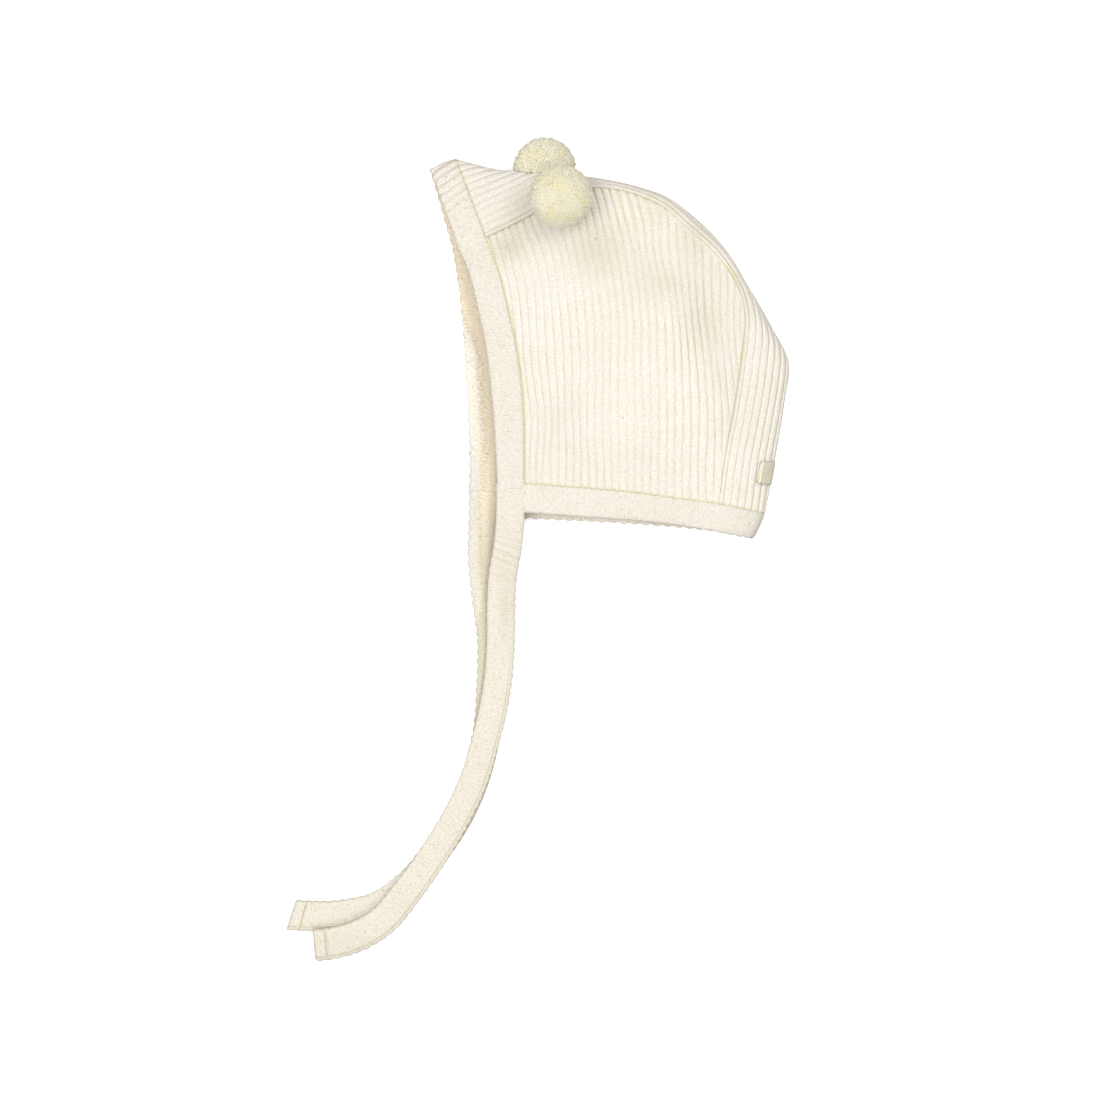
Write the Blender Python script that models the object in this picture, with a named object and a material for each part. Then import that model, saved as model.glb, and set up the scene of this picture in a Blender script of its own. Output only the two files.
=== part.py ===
"""Knitted baby bonnet, lying on its right side, built as its sewn pieces.

X runs from the face edge to the back of the head, Y from the neck to the crown, Z up from the surface it lies on.
The left half of the bonnet is the upper one. Tables hold shares of the bonnet's depth ("across", from the front of
the brow peak) and of its height ("up", from the lowest point of the neck edge). Surfaces are the outer faces at the
tops of the knit ribs, and every wall is built inwards from them.
"""

import bmesh
import bpy
import numpy as np
from mathutils import Vector
from mathutils.bvhtree import BVHTree

MM = 0.001

# Overall sizes
BONNET_DEPTH = 170.9 * MM
BONNET_HEIGHT = 180.3 * MM
SHELL_HEIGHT = 38 * MM
ORIGIN_ACROSS = 0.528
ORIGIN_UP = 0.366

# Cloth
WALL = 2.2 * MM
RIB_DEPTH = 0.8 * MM
SIDE_RIBS = 28
CROWN_RIBS = 16
SEAM_GAP = 0.5 * MM
INNER_SETBACK = 1.3 * MM

# Bindings and ties
BAND_THICKNESS = 3.6 * MM
BAND_PROUD = 0.6 * MM
SCALLOP_PITCH = 5.2 * MM
SCALLOP_DEPTH = 0.7 * MM
# Slope of a tape's long edges, as a share of its thickness
EDGE_SLOPE = 0.35
TIE_WIDTH = 13.6 * MM
TIE_THICKNESS = 3.5 * MM

# Pompoms
POMPOM_DIAMETER = 30 * MM
POMPOM_LOCK = 0.9 * MM
POMPOM_LOCK_EVERY = 3
LEFT_POMPOM = (0.365, 0.893)
RIGHT_POMPOM = (0.320, 0.974)
LEFT_POMPOM_SINK = 2.5 * MM
LEFT_POMPOM_CLEAR = 0.5 * MM
RIGHT_POMPOM_CLEAR = 1.2 * MM

# Label: its middle as shares of the way from brow to nape and from the upper crown seam to the lower one
LABEL_ALONG = 0.930
LABEL_AROUND = 0.390
LABEL_WIDTH = 8.2 * MM
LABEL_LENGTH = 10.9 * MM
LABEL_THICKNESS = 1.0 * MM

# Crown panel: the fold down its middle is the bonnet's outline, "top" and "fold" are shares of the shell's height,
# "under_in" is how far the lower seam lies inside the upper one and "full" rounds the lower half (1 is straight)
CROWN_COLUMNS = ("fold_across", "fold_up", "seam_across", "seam_up", "top", "fold", "under_in", "full")
CROWN_ROWS = (
    (0.073, 1.000, 0.157, 0.791, 0.55, 0.50, 0.000, 2.0),
    (0.196, 0.970, 0.246, 0.830, 0.70, 0.62, 0.014, 1.5),
    (0.320, 0.961, 0.351, 0.882, 0.88, 0.80, 0.047, 1.0),
    (0.445, 0.948, 0.445, 0.916, 0.96, 0.62, 0.018, 1.5),
    (0.597, 0.916, 0.583, 0.895, 1.00, 0.50, 0.000, 2.0),
    (0.649, 0.899, 0.637, 0.872, 1.00, 0.50, 0.000, 2.0),
    (0.732, 0.843, 0.710, 0.814, 1.00, 0.50, 0.000, 2.0),
    (0.823, 0.754, 0.796, 0.738, 0.95, 0.50, 0.000, 2.0),
    (0.881, 0.665, 0.851, 0.660, 0.84, 0.50, 0.000, 2.0),
    (0.948, 0.560, 0.873, 0.571, 0.67, 0.50, 0.000, 2.0),
    (0.997, 0.461, 0.862, 0.461, 0.54, 0.50, 0.000, 2.0),
    (0.986, 0.366, 0.848, 0.366, 0.49, 0.50, 0.000, 2.0),
    (0.959, 0.209, 0.818, 0.215, 0.46, 0.50, 0.000, 2.0),
    (0.931, 0.068, 0.801, 0.094, 0.44, 0.50, 0.000, 2.0),
)
# The back corner of each side panel, as a share of the way along the crown panel
PANEL_CORNER = 0.560

# Face and neck edges: the panel's edge, the band's free edge, and the upper side's height as a share of the shell's
EDGE_COLUMNS = ("panel_across", "panel_up", "free_across", "free_up", "height")

# Face edge from the neck up to the crown seam
UPPER_FACE_ROWS = (
    (0.260, 0.134, 0.189, 0.134, 0.38),
    (0.260, 0.262, 0.182, 0.262, 0.44),
    (0.257, 0.369, 0.174, 0.366, 0.49),
    (0.243, 0.484, 0.159, 0.492, 0.53),
    (0.221, 0.586, 0.138, 0.592, 0.55),
    (0.193, 0.699, 0.110, 0.699, 0.56),
    (0.157, 0.791, 0.083, 0.759, 0.55),
)
LOWER_FACE_ROWS = (
    (0.188, 0.129, 0.110, 0.129, 0.0),
    (0.188, 0.262, 0.110, 0.262, 0.0),
    (0.182, 0.369, 0.105, 0.369, 0.0),
    (0.177, 0.471, 0.099, 0.466, 0.0),
    (0.166, 0.581, 0.090, 0.576, 0.0),
    (0.157, 0.691, 0.077, 0.683, 0.0),
    (0.157, 0.791, 0.064, 0.762, 0.0),
)
BROW_PEAK = (0.000, 0.975)

# Neck edge from the face to the nape seam
UPPER_NECK_ROWS = (
    (0.265, 0.147, 0.265, 0.071, 0.38),
    (0.417, 0.136, 0.417, 0.060, 0.42),
    (0.569, 0.123, 0.569, 0.050, 0.45),
    (0.693, 0.107, 0.693, 0.037, 0.45),
    (0.801, 0.094, 0.793, 0.021, 0.44),
)
LOWER_NECK_ROWS = (
    (0.193, 0.134, 0.193, 0.058, 0.0),
    (0.362, 0.126, 0.362, 0.050, 0.0),
    (0.528, 0.115, 0.528, 0.042, 0.0),
    (0.693, 0.102, 0.693, 0.031, 0.0),
    (0.801, 0.094, 0.793, 0.021, 0.0),
)
NAPE_PEAK = (0.898, 0.000)

# Dents and creases pressed into the upper panel: middle, length as a share of the bonnet's height, width as a share
# of its depth, turn in radians, and depth as a share of the shell's height
DENT_COLUMNS = ("across", "up", "length", "width", "turn", "depth")
DENT_ROWS = (
    (0.77, 0.56, 0.166, 0.047, 1.45, 0.053),
    (0.41, 0.34, 0.166, 0.035, 1.15, 0.037),
    (0.35, 0.20, 0.144, 0.041, 1.57, 0.026),
    (0.26, 0.76, 0.111, 0.058, 0.30, 0.037),
)
# Rise of the upper panel's middle above its edges, as a share of the shell's height
DOME = 0.105
# How quickly, inwards from its edges, the under panel comes down flat and the upper one's dents reach full depth
FLATTEN_RATE = 3
DENT_RATE = 4

# Ties: middle line, how high each long edge lies above the surface in tie thicknesses, and width in tie widths
TIE_COLUMNS = ("across", "up", "face_side_lift", "neck_side_lift", "width")
LEFT_TIE_ROWS = (
    (0.225, 0.130, 3.32, 3.32, 1.00),
    (0.225, 0.065, 2.95, 2.95, 1.00),
    (0.218, -0.016, 2.20, 2.00, 1.00),
    (0.204, -0.094, 1.62, 1.00, 1.00),
    (0.200, -0.168, 1.42, 0.55, 1.00),
    (0.199, -0.262, 1.22, 0.90, 1.00),
    (0.193, -0.353, 1.14, 1.12, 1.00),
    (0.177, -0.450, 1.13, 1.13, 1.00),
    (0.153, -0.539, 1.13, 1.13, 1.00),
    (0.126, -0.626, 1.13, 1.13, 1.00),
    (0.080, -0.720, 1.13, 1.13, 1.01),
    (0.014, -0.825, 1.13, 1.13, 1.03),
    (-0.055, -0.918, 1.14, 1.12, 1.06),
    (-0.131, -1.002, 1.24, 0.80, 1.09),
    (-0.217, -1.047, 1.36, 0.10, 1.13),
    (-0.282, -1.062, 1.24, 0.02, 1.15),
    (-0.320, -1.065, 1.20, 0.00, 1.15),
)
RIGHT_TIE_ROWS = (
    (0.149, 0.125, 0.0, 0.0, 1.00),
    (0.148, 0.065, 0.0, 0.0, 1.00),
    (0.146, -0.055, 0.0, 0.0, 1.00),
    (0.157, -0.157, 0.0, 0.0, 1.00),
    (0.171, -0.264, 0.0, 0.0, 1.00),
    (0.169, -0.380, 0.0, 0.0, 1.00),
    (0.155, -0.526, 0.0, 0.0, 1.00),
    (0.131, -0.618, 0.0, 0.0, 1.00),
    (0.086, -0.720, 0.0, 0.0, 1.00),
    (0.018, -0.819, 0.0, 0.0, 1.00),
    (-0.055, -0.901, 0.0, 0.0, 1.00),
    (-0.144, -0.962, 0.0, 0.0, 1.03),
    (-0.250, -0.987, 0.0, 0.0, 1.08),
    (-0.384, -0.987, 0.0, 0.0, 1.08),
)

# How finely the faces are cut
LEFT_ROWS = 10
RIGHT_ROWS = 6
SIDE_INNER_CELLS = (6, 14)
CROWN_ROWS_CUT = 22
CROWN_INNER_CELLS = (18, 12)
LABEL_STEPS = 4
SECTION_STEPS = 31
PATH_STEPS = 400
NORMAL_STEP = 0.004
POMPOM_SUBDIVISIONS = 4

# Yarn colours and finishes
RIB_KNIT = ("rib_knit", (0.921, 0.888, 0.807), 0.92)
BINDING_KNIT = ("binding_knit", (0.913, 0.855, 0.768), 0.95)
POMPOM_YARN = ("pompom_yarn", (0.871, 0.831, 0.624), 0.97)
LABEL_TAPE = ("label_tape", (0.651, 0.623, 0.491), 0.80)


def along(rows, shares):
    """Every column at the given shares of the way along the rows, on one smooth curve through all of them."""
    rows = np.asarray(rows, float)
    steps = np.linalg.norm(np.diff(rows[:, :2], axis=0), axis=1)
    keys = np.concatenate([[0.0], np.cumsum(steps)]) / steps.sum()
    slopes = np.gradient(rows, keys, axis=0)
    shares = np.clip(np.atleast_1d(shares), 0.0, 1.0)
    before = np.clip(np.searchsorted(keys, shares) - 1, 0, len(keys) - 2)
    span = (keys[before + 1] - keys[before])[:, None]
    f = (shares - keys[before])[:, None] / span
    start = (2 * f**3 - 3 * f**2 + 1) * rows[before] + (f**3 - 2 * f**2 + f) * span * slopes[before]
    end = (3 * f**2 - 2 * f**3) * rows[before + 1] + (f**3 - f**2) * span * slopes[before + 1]
    return start + end


def place(across, up):
    """Shares of the bonnet's depth and height as X and Y in metres."""
    x = (np.asarray(across) - ORIGIN_ACROSS) * BONNET_DEPTH
    y = (np.asarray(up) - ORIGIN_UP) * BONNET_HEIGHT
    return np.stack([x, y], axis=-1)


def unit(vectors):
    return vectors / np.maximum(np.linalg.norm(vectors, axis=-1, keepdims=True), 1e-12)


def line_length(points):
    return np.linalg.norm(np.diff(points, axis=0), axis=1).sum()


def respaced(points, shares):
    """Points at the given shares of the length of a line."""
    steps = np.linalg.norm(np.diff(points, axis=0), axis=1)
    reach = np.concatenate([[0.0], np.cumsum(steps)])
    wanted = np.asarray(shares) * reach[-1]
    return np.stack([np.interp(wanted, reach, points[:, i]) for i in range(3)], axis=-1)


def folded_section(seam, fold, under, top, fold_height, full):
    """The line across the crown from its upper seam over the fold to its lower seam. Each half is a quarter
    ellipse, or a quarter circle and an upright where the half is taller than wide, and full goes from 1, which
    makes the lower half straight, to 2."""
    turn = np.linspace(np.pi / 2, 0, SECTION_STEPS)[:, None]
    middle = BAND_PROUD + (top - BAND_PROUD) * fold_height
    upper_round = min(top - middle, np.linalg.norm(fold - seam))
    upper = np.column_stack([seam + (fold - seam) * np.cos(turn), top - upper_round * (1 - np.sin(turn))])
    lower_round = min(middle - BAND_PROUD, np.linalg.norm(fold - under))
    lower_round += (middle - BAND_PROUD - lower_round) * (2 - full)
    out = np.abs(np.cos(turn)) ** (2 / full)
    rise = np.abs(np.sin(turn)) ** (2 / full)
    lower = np.column_stack([under + (fold - under) * out, BAND_PROUD + lower_round * (1 - rise)])
    return np.concatenate([upper, [[*fold, middle]], lower[::-1]])


def crown_section(share):
    """The crown's section at one share of the way from brow to nape."""
    row = dict(zip(CROWN_COLUMNS, along(CROWN_ROWS, share)[0]))
    fold = place(row["fold_across"], row["fold_up"])
    seam = place(row["seam_across"], row["seam_up"])
    under = seam + unit(seam - fold) * row["under_in"] * BONNET_DEPTH
    return folded_section(seam, fold, under, row["top"] * SHELL_HEIGHT, row["fold"], row["full"])


def crown_surface(shares, widths):
    """Grid of points on the crown panel, shares running from brow to nape and widths from the upper seam to the
    lower one."""
    widths = np.clip(widths, 0, 1)
    return np.stack([respaced(crown_section(share), widths) for share in np.clip(shares, 0, 1)])


def seam_line(lower):
    """The crown seam of one side, from brow to nape."""
    sections = [crown_section(share) for share in np.linspace(0, 1, PATH_STEPS)]
    return np.stack([section[-1 if lower else 0] for section in sections])


def edge_line(rows, edge, shares, lower):
    """One edge of a face or neck table as points, edge being panel or free."""
    values = dict(zip(EDGE_COLUMNS, along(rows, shares).T))
    plan = place(values[edge + "_across"], values[edge + "_up"])
    height = np.full(len(plan), BAND_PROUD) if lower else values["height"] * SHELL_HEIGHT
    return np.column_stack([plan, height])


def dents(x, y):
    """How deep the dents press at the given plan points: a sum of long soft hollows."""
    depth = np.zeros_like(x)
    for row in DENT_ROWS:
        dent = dict(zip(DENT_COLUMNS, row))
        middle = place(dent["across"], dent["up"])
        run = (x - middle[0]) * np.cos(dent["turn"]) + (y - middle[1]) * np.sin(dent["turn"])
        side = (y - middle[1]) * np.cos(dent["turn"]) - (x - middle[0]) * np.sin(dent["turn"])
        bell = (run / (dent["length"] * BONNET_HEIGHT)) ** 2 + (side / (dent["width"] * BONNET_DEPTH)) ** 2
        depth += dent["depth"] * SHELL_HEIGHT * np.exp(-bell)
    return depth


def side_surface(lower, heights, widths):
    """Grid of points on a side panel: its four edges blended across the middle, domed and dented above and
    flattened on the table below. Heights run from the neck to the crown, widths from the face to the back."""
    heights = np.clip(heights, 0, 1)
    widths = np.clip(widths, 0, 1)
    seam = seam_line(lower)
    corner = round(PANEL_CORNER * (PATH_STEPS - 1))
    front_part = seam[: corner + 1]
    back_part = seam[corner:][::-1]
    face_rows = LOWER_FACE_ROWS if lower else UPPER_FACE_ROWS
    neck_rows = LOWER_NECK_ROWS if lower else UPPER_NECK_ROWS
    face = edge_line(face_rows, "panel", heights, lower)
    neck = edge_line(neck_rows, "panel", widths, lower)
    wanted_x = front_part[0, 0] + widths * (front_part[-1, 0] - front_part[0, 0])
    crown = np.stack([np.interp(wanted_x, front_part[:, 0], front_part[:, i]) for i in range(3)], axis=-1)
    wanted_y = back_part[0, 1] + heights * (back_part[-1, 1] - back_part[0, 1])
    back = np.stack([np.interp(wanted_y, back_part[:, 1], back_part[:, i]) for i in range(3)], axis=-1)
    u = widths[None, :, None]
    v = heights[:, None, None]
    corners = (1 - u) * (1 - v) * face[0] + u * (1 - v) * back[0] + (1 - u) * v * face[-1] + u * v * back[-1]
    points = (1 - v) * neck[None] + v * crown[None] + (1 - u) * face[:, None] + u * back[:, None] - corners
    inside = (4 * u * (1 - u) * 4 * v * (1 - v))[..., 0]
    if lower:
        points[..., 2] *= 1 - np.clip(FLATTEN_RATE * inside, 0, 1)
    else:
        points[..., 2] += DOME * SHELL_HEIGHT * inside
        points[..., 2] -= dents(points[..., 0], points[..., 1]) * np.clip(DENT_RATE * inside, 0, 1)
    return points


def normals_of(surface, shares, widths, outward):
    """Unit normals of a surface at a grid of its two parameters, turned to the side that outward says."""
    along_step = surface(shares + NORMAL_STEP, widths) - surface(shares - NORMAL_STEP, widths)
    across_step = surface(shares, widths + NORMAL_STEP) - surface(shares, widths - NORMAL_STEP)
    normals = unit(np.cross(along_step, across_step))
    middle = normals[normals.shape[0] // 2, normals.shape[1] // 2]
    return normals if np.dot(middle, outward) > 0 else -normals


def new_piece(name, vertices, faces, knit):
    """One named object in its own material, its faces all turned outwards."""
    slot, colour, roughness = knit
    mesh = bpy.data.meshes.new(name)
    mesh.from_pydata([tuple(map(float, v)) for v in vertices], [], faces)
    work = bmesh.new()
    work.from_mesh(mesh)
    bmesh.ops.recalc_face_normals(work, faces=work.faces)
    work.to_mesh(mesh)
    work.free()
    material = bpy.data.materials.get(slot) or bpy.data.materials.new(slot)
    material.use_nodes = True
    shader = material.node_tree.nodes["Principled BSDF"]
    shader.inputs["Base Color"].default_value = (*colour, 1.0)
    shader.inputs["Roughness"].default_value = roughness
    shader.inputs["Metallic"].default_value = 0.0
    mesh.materials.append(material)
    piece = bpy.data.objects.new(name, mesh)
    bpy.context.scene.collection.objects.link(piece)
    return piece


def grid_faces(rows, columns, start):
    """Two triangles for each cell of a grid whose points are numbered from start."""
    faces = []
    for i in range(rows - 1):
        for j in range(columns - 1):
            a = start + i * columns + j
            faces.append((a, a + 1, a + columns + 1))
            faces.append((a, a + columns + 1, a + columns))
    return faces


def border(rows, columns, start):
    """The four sides of a grid as lists of point numbers, going round it."""
    bottom = [start + j for j in range(columns)]
    right = [start + i * columns + columns - 1 for i in range(rows)]
    top = [start + (rows - 1) * columns + j for j in reversed(range(columns))]
    left = [start + i * columns for i in reversed(range(rows))]
    return bottom, right, top, left


def zipped(first, second):
    """Triangles between two lines of points with different numbers of points and the same ends. The steps of both
    lines are taken in the order of their middles, so that each triangle joins points that lie close together."""
    faces = []
    i = 0
    j = 0
    while i < len(first) - 1 or j < len(second) - 1:
        first_share = (i + 0.5) / (len(first) - 1) if i < len(first) - 1 else 2.0
        second_share = (j + 0.5) / (len(second) - 1) if j < len(second) - 1 else 2.0
        if first_share <= second_share:
            faces.append((first[i], first[i + 1], second[j]))
            i += 1
        else:
            faces.append((first[i], second[j + 1], second[j]))
            j += 1
    return faces


def walled(name, outer, inner, knit):
    """A closed wall between an outer grid and an inner grid of its own fineness."""
    rows, columns = outer.shape[:2]
    inner_rows, inner_columns = inner.shape[:2]
    start = rows * columns
    faces = grid_faces(rows, columns, 0) + grid_faces(inner_rows, inner_columns, start)
    for side, inner_side in zip(border(rows, columns, 0), border(inner_rows, inner_columns, start)):
        faces += zipped(side, inner_side)
    return new_piece(name, np.concatenate([outer.reshape(-1, 3), inner.reshape(-1, 3)]), faces, knit)


def inset(cells, gap, length):
    """Evenly spaced shares of a length that stop short of both its ends by the gap."""
    return np.linspace(gap / length, 1 - gap / length, cells + 1)


def ribbed(points, normals, keep):
    """Every second column pressed in to the foot of the ribs, by the share that keep gives."""
    groove = np.arange(points.shape[1]) % 2 == 0
    return points - normals * RIB_DEPTH * groove[None, :, None] * keep[..., None]


def panel(name, surface, outward, cells, inner_cells):
    """A ribbed wall over a surface of two parameters, its ribs running along the first of them. Pressed-down
    places keep no ribs, and the inner face is set back at the seams so that neighbours clear each other."""
    middle = np.array([0.5])
    fine = np.linspace(0, 1, SECTION_STEPS)
    length = line_length(surface(fine, middle)[:, 0])
    width = line_length(surface(middle, fine)[0])
    shares = inset(cells[0], SEAM_GAP, length)
    widths = inset(cells[1], SEAM_GAP, width)
    outer = surface(shares, widths)
    keep = np.clip(outer[..., 2] / BAND_PROUD, 0, 1)
    outer = ribbed(outer, normals_of(surface, shares, widths, outward), keep)
    setback = SEAM_GAP + INNER_SETBACK
    shares = inset(inner_cells[0], setback, length)
    widths = inset(inner_cells[1], setback, width)
    inner = surface(shares, widths) - normals_of(surface, shares, widths, outward) * WALL
    return walled(name, outer, inner, RIB_KNIT)


def upper_side(heights, widths):
    return side_surface(False, heights, widths)


def lower_side(heights, widths):
    return side_surface(True, heights, widths)


def crown_fold():
    """The fold down the middle of the crown panel, from brow to nape."""
    return np.stack([crown_section(share)[SECTION_STEPS] for share in np.linspace(0, 1, PATH_STEPS)])


def ribbon(name, held, free, thickness, proud, flip, both_scalloped):
    """A doubled knit band between a held and a free edge: a flattened six-sided section that lies proud of the
    outer face, its free edge waved into scallops."""
    middle = (held + free) / 2
    stations = 2 * round(line_length(middle) / SCALLOP_PITCH) + 1
    spots = respaced(middle, np.linspace(0, 1, stations))
    nearest = [int(np.argmin(np.linalg.norm(middle - spot, axis=1))) for spot in spots]
    held = held[nearest]
    free = free[nearest]
    width = unit(free - held)
    forward = np.gradient(spots, axis=0)
    up = unit(np.cross(width, forward)) * (1 if flip else -1)
    wave = SCALLOP_DEPTH * (np.arange(stations) % 2)[:, None] * width
    free = free - wave
    held = held + wave if both_scalloped else held
    centre = up * (proud - thickness / 2)
    half = up * thickness / 2
    chamfer = width * thickness * EDGE_SLOPE
    ring = [
        held + centre,
        held + chamfer + centre + half,
        free - chamfer + centre + half,
        free + centre,
        free - chamfer + centre - half,
        held + chamfer + centre - half,
    ]
    vertices = np.stack(ring, axis=1).reshape(-1, 3)
    count = len(ring)
    faces = []
    for i in range(stations - 1):
        for j in range(count):
            a = i * count + j
            b = i * count + (j + 1) % count
            faces.append((a, b, b + count))
            faces.append((a, b + count, a + count))
    last = (stations - 1) * count
    for first in (0, last):
        faces.append(tuple(first + j for j in range(count)))
    return new_piece(name, vertices, faces, BINDING_KNIT)


def binding(name, upper_rows, lower_rows, share, peak, flip):
    """From the front or lower end of the upper table, over the fold at one end of the crown and back along the lower
    table. Share is 0 at the brow and 1 at the nape, and peak is where the band's free edge turns over."""
    shares = np.linspace(0, 1, PATH_STEPS)
    row = dict(zip(CROWN_COLUMNS, along(CROWN_ROWS, share)[0]))
    upper_edge = edge_line(upper_rows, "free", shares, False)
    lower_edge = edge_line(lower_rows, "free", shares, True)
    turn_over = folded_section(
        upper_edge[-1, :2], place(*peak), lower_edge[-1, :2], row["top"] * SHELL_HEIGHT, row["fold"], row["full"]
    )
    held = [
        edge_line(upper_rows, "panel", shares, False),
        respaced(crown_section(share), shares),
        edge_line(lower_rows, "panel", shares, True)[::-1],
    ]
    free = [upper_edge, respaced(turn_over, shares), lower_edge[::-1]]
    return ribbon(name, np.concatenate(held), np.concatenate(free), BAND_THICKNESS, BAND_PROUD, flip, False)


def tie(name, rows):
    """A flat knit tape along its middle line, each long edge at its own lift above the surface."""
    values = dict(zip(TIE_COLUMNS, along(rows, np.linspace(0, 1, PATH_STEPS)).T))
    plan = place(values["across"], values["up"])
    forward = unit(np.gradient(plan, axis=0))
    side = np.column_stack([-forward[:, 1], forward[:, 0]]) * (values["width"] * TIE_WIDTH / 2)[:, None]
    half = TIE_THICKNESS / 2
    neck_side = np.column_stack([plan + side, values["neck_side_lift"] * TIE_THICKNESS + half])
    face_side = np.column_stack([plan - side, values["face_side_lift"] * TIE_THICKNESS + half])
    return ribbon(name, neck_side, face_side, TIE_THICKNESS, TIE_THICKNESS / 2, True, True)


def cloth_tree():
    """Search tree over the smooth outer faces of the crown and both side panels, with no gaps at the seams."""
    vertices = []
    faces = []
    fine = np.linspace(0, 1, SECTION_STEPS)
    for surface in (crown_surface, upper_side, lower_side):
        faces += grid_faces(SECTION_STEPS, SECTION_STEPS, len(vertices))
        vertices += [Vector(point) for point in surface(fine, fine).reshape(-1, 3)]
    return BVHTree.FromPolygons(vertices, faces)


def pompom(name, centre, cloth, clear):
    """A clipped yarn ball: a sphere with short raised locks, pressed in where it meets the cloth or the table."""
    heart = Vector(centre)
    radius = POMPOM_DIAMETER / 2
    work = bmesh.new()
    bmesh.ops.create_icosphere(work, subdivisions=POMPOM_SUBDIVISIONS, radius=radius)
    for vertex in work.verts:
        out = vertex.co.normalized()
        reach = radius - (POMPOM_LOCK if vertex.index % POMPOM_LOCK_EVERY == 0 else 0.0)
        hit = cloth.ray_cast(heart, out, radius + clear)
        if hit[0] is not None:
            reach = min(reach, hit[3] - clear)
        vertex.co = heart + out * reach
        spot, normal, index, distance = cloth.find_nearest(vertex.co)
        if distance < clear:
            vertex.co = spot + (vertex.co - spot).normalized() * clear
        vertex.co.z = max(vertex.co.z, 0.0)
    vertices = [v.co.copy() for v in work.verts]
    faces = [[v.index for v in f.verts] for f in work.faces]
    work.free()
    return new_piece(name, vertices, faces, POMPOM_YARN)


def back_label():
    """A small bare tab on the back of the crown panel, lying along the ribs just above the nape."""
    spread = np.linspace(-0.5, 0.5, LABEL_STEPS + 1)
    shares = LABEL_ALONG + spread * LABEL_LENGTH / line_length(crown_fold())
    widths = LABEL_AROUND + spread * LABEL_WIDTH / line_length(crown_section(LABEL_ALONG))
    cloth = crown_surface(shares, widths)
    normals = normals_of(crown_surface, shares, widths, (1, 0, 0))
    outer = cloth + normals * (SEAM_GAP + LABEL_THICKNESS)
    inner = cloth + normals * SEAM_GAP
    return walled("back_label", outer, inner, LABEL_TAPE)


def build():
    for old in list(bpy.data.objects):
        bpy.data.objects.remove(old)
    panel("left_side_panel", upper_side, (0, 0, 1), (LEFT_ROWS, 2 * SIDE_RIBS), SIDE_INNER_CELLS)
    panel("right_side_panel", lower_side, (0, 0, -1), (RIGHT_ROWS, 2 * SIDE_RIBS), SIDE_INNER_CELLS)
    panel("crown_panel", crown_surface, (1, 0, 0), (CROWN_ROWS_CUT, 2 * CROWN_RIBS), CROWN_INNER_CELLS)
    binding("face_binding", UPPER_FACE_ROWS, LOWER_FACE_ROWS, 0.0, BROW_PEAK, False)
    binding("neck_binding", UPPER_NECK_ROWS, LOWER_NECK_ROWS, 1.0, NAPE_PEAK, True)
    tie("left_tie", LEFT_TIE_ROWS)
    tie("right_tie", RIGHT_TIE_ROWS)
    cloth = cloth_tree()
    radius = POMPOM_DIAMETER / 2
    seat = place(*LEFT_POMPOM)
    below = cloth.ray_cast(Vector((*seat, 2 * SHELL_HEIGHT)), Vector((0, 0, -1)))[0].z
    pompom("left_pompom", (*seat, below + radius - LEFT_POMPOM_SINK), cloth, LEFT_POMPOM_CLEAR)
    pompom("right_pompom", (*place(*RIGHT_POMPOM), radius), cloth, RIGHT_POMPOM_CLEAR)
    back_label()


build()
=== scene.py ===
"""Knitted baby bonnet with two pompoms and tape ties, lying on its right side on a pale table.

X runs from the face edge to the back of the head, Y from the neck to the crown, Z up from the table. The
sections follow the bonnet as it is sewn: crown panel, side panels, bindings, ties, pompoms, label, lint, then
the studio.
"""

import bpy
import numpy as np
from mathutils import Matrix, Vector
from mathutils.bvhtree import BVHTree


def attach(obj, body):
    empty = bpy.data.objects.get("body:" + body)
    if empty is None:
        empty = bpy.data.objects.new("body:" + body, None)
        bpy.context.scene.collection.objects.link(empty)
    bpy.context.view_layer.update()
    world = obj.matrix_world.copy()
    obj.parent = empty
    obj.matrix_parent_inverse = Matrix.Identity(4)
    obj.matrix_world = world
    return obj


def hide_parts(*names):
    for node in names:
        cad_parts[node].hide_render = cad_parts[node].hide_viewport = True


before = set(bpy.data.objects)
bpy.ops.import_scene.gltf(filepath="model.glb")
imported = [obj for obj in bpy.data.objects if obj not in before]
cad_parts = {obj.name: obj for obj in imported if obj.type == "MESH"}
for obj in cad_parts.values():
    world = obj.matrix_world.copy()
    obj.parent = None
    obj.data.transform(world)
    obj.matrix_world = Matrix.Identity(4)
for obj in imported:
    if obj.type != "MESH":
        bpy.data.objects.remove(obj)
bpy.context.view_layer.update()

# Crown panel: one strip of rib knit that runs from the brow over the head down to the nape, with its ribs
# lengthways. It is folded down its middle here, and its two long edges are sewn to the side panels with the
# seam allowance pressed into a raised welt on the crown's side.
MM = 0.001
BONNET_DEPTH = 170.9 * MM
BONNET_HEIGHT = 180.3 * MM
SHELL_HEIGHT = 38 * MM
# Where the frame's origin lies, as shares of depth and height
ORIGIN_ACROSS = 0.528
ORIGIN_UP = 0.366
# How far the lower edges of the panels lie above the table
BAND_PROUD = 0.6 * MM
WALL = 2.2 * MM
RIB_DEPTH = 0.62 * MM
RIB_PITCH = 3.55 * MM
# Distance of the first rib from the upper seam, and the share of it that stays plain
FIRST_RIB = 2.3 * MM
EDGE_PLAIN = 0.6
# Half width of the grooves between ribs, and the shares of a rib's depth in the groove and in its round top
GROOVE_HALF = 0.50 * MM
GROOVE_CUT = 0.70
RIB_SWELL = 0.32
WELT_WIDTH = 2.6 * MM
WELT_HEIGHT = 0.5 * MM
SEAM_TUCK = 0.45 * MM
SEAM_WIDTH = 1.5 * MM
# Points on each half of a line across the crown, and on a line along an edge
SECTION_STEPS = 31
PATH_STEPS = 400

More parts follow.
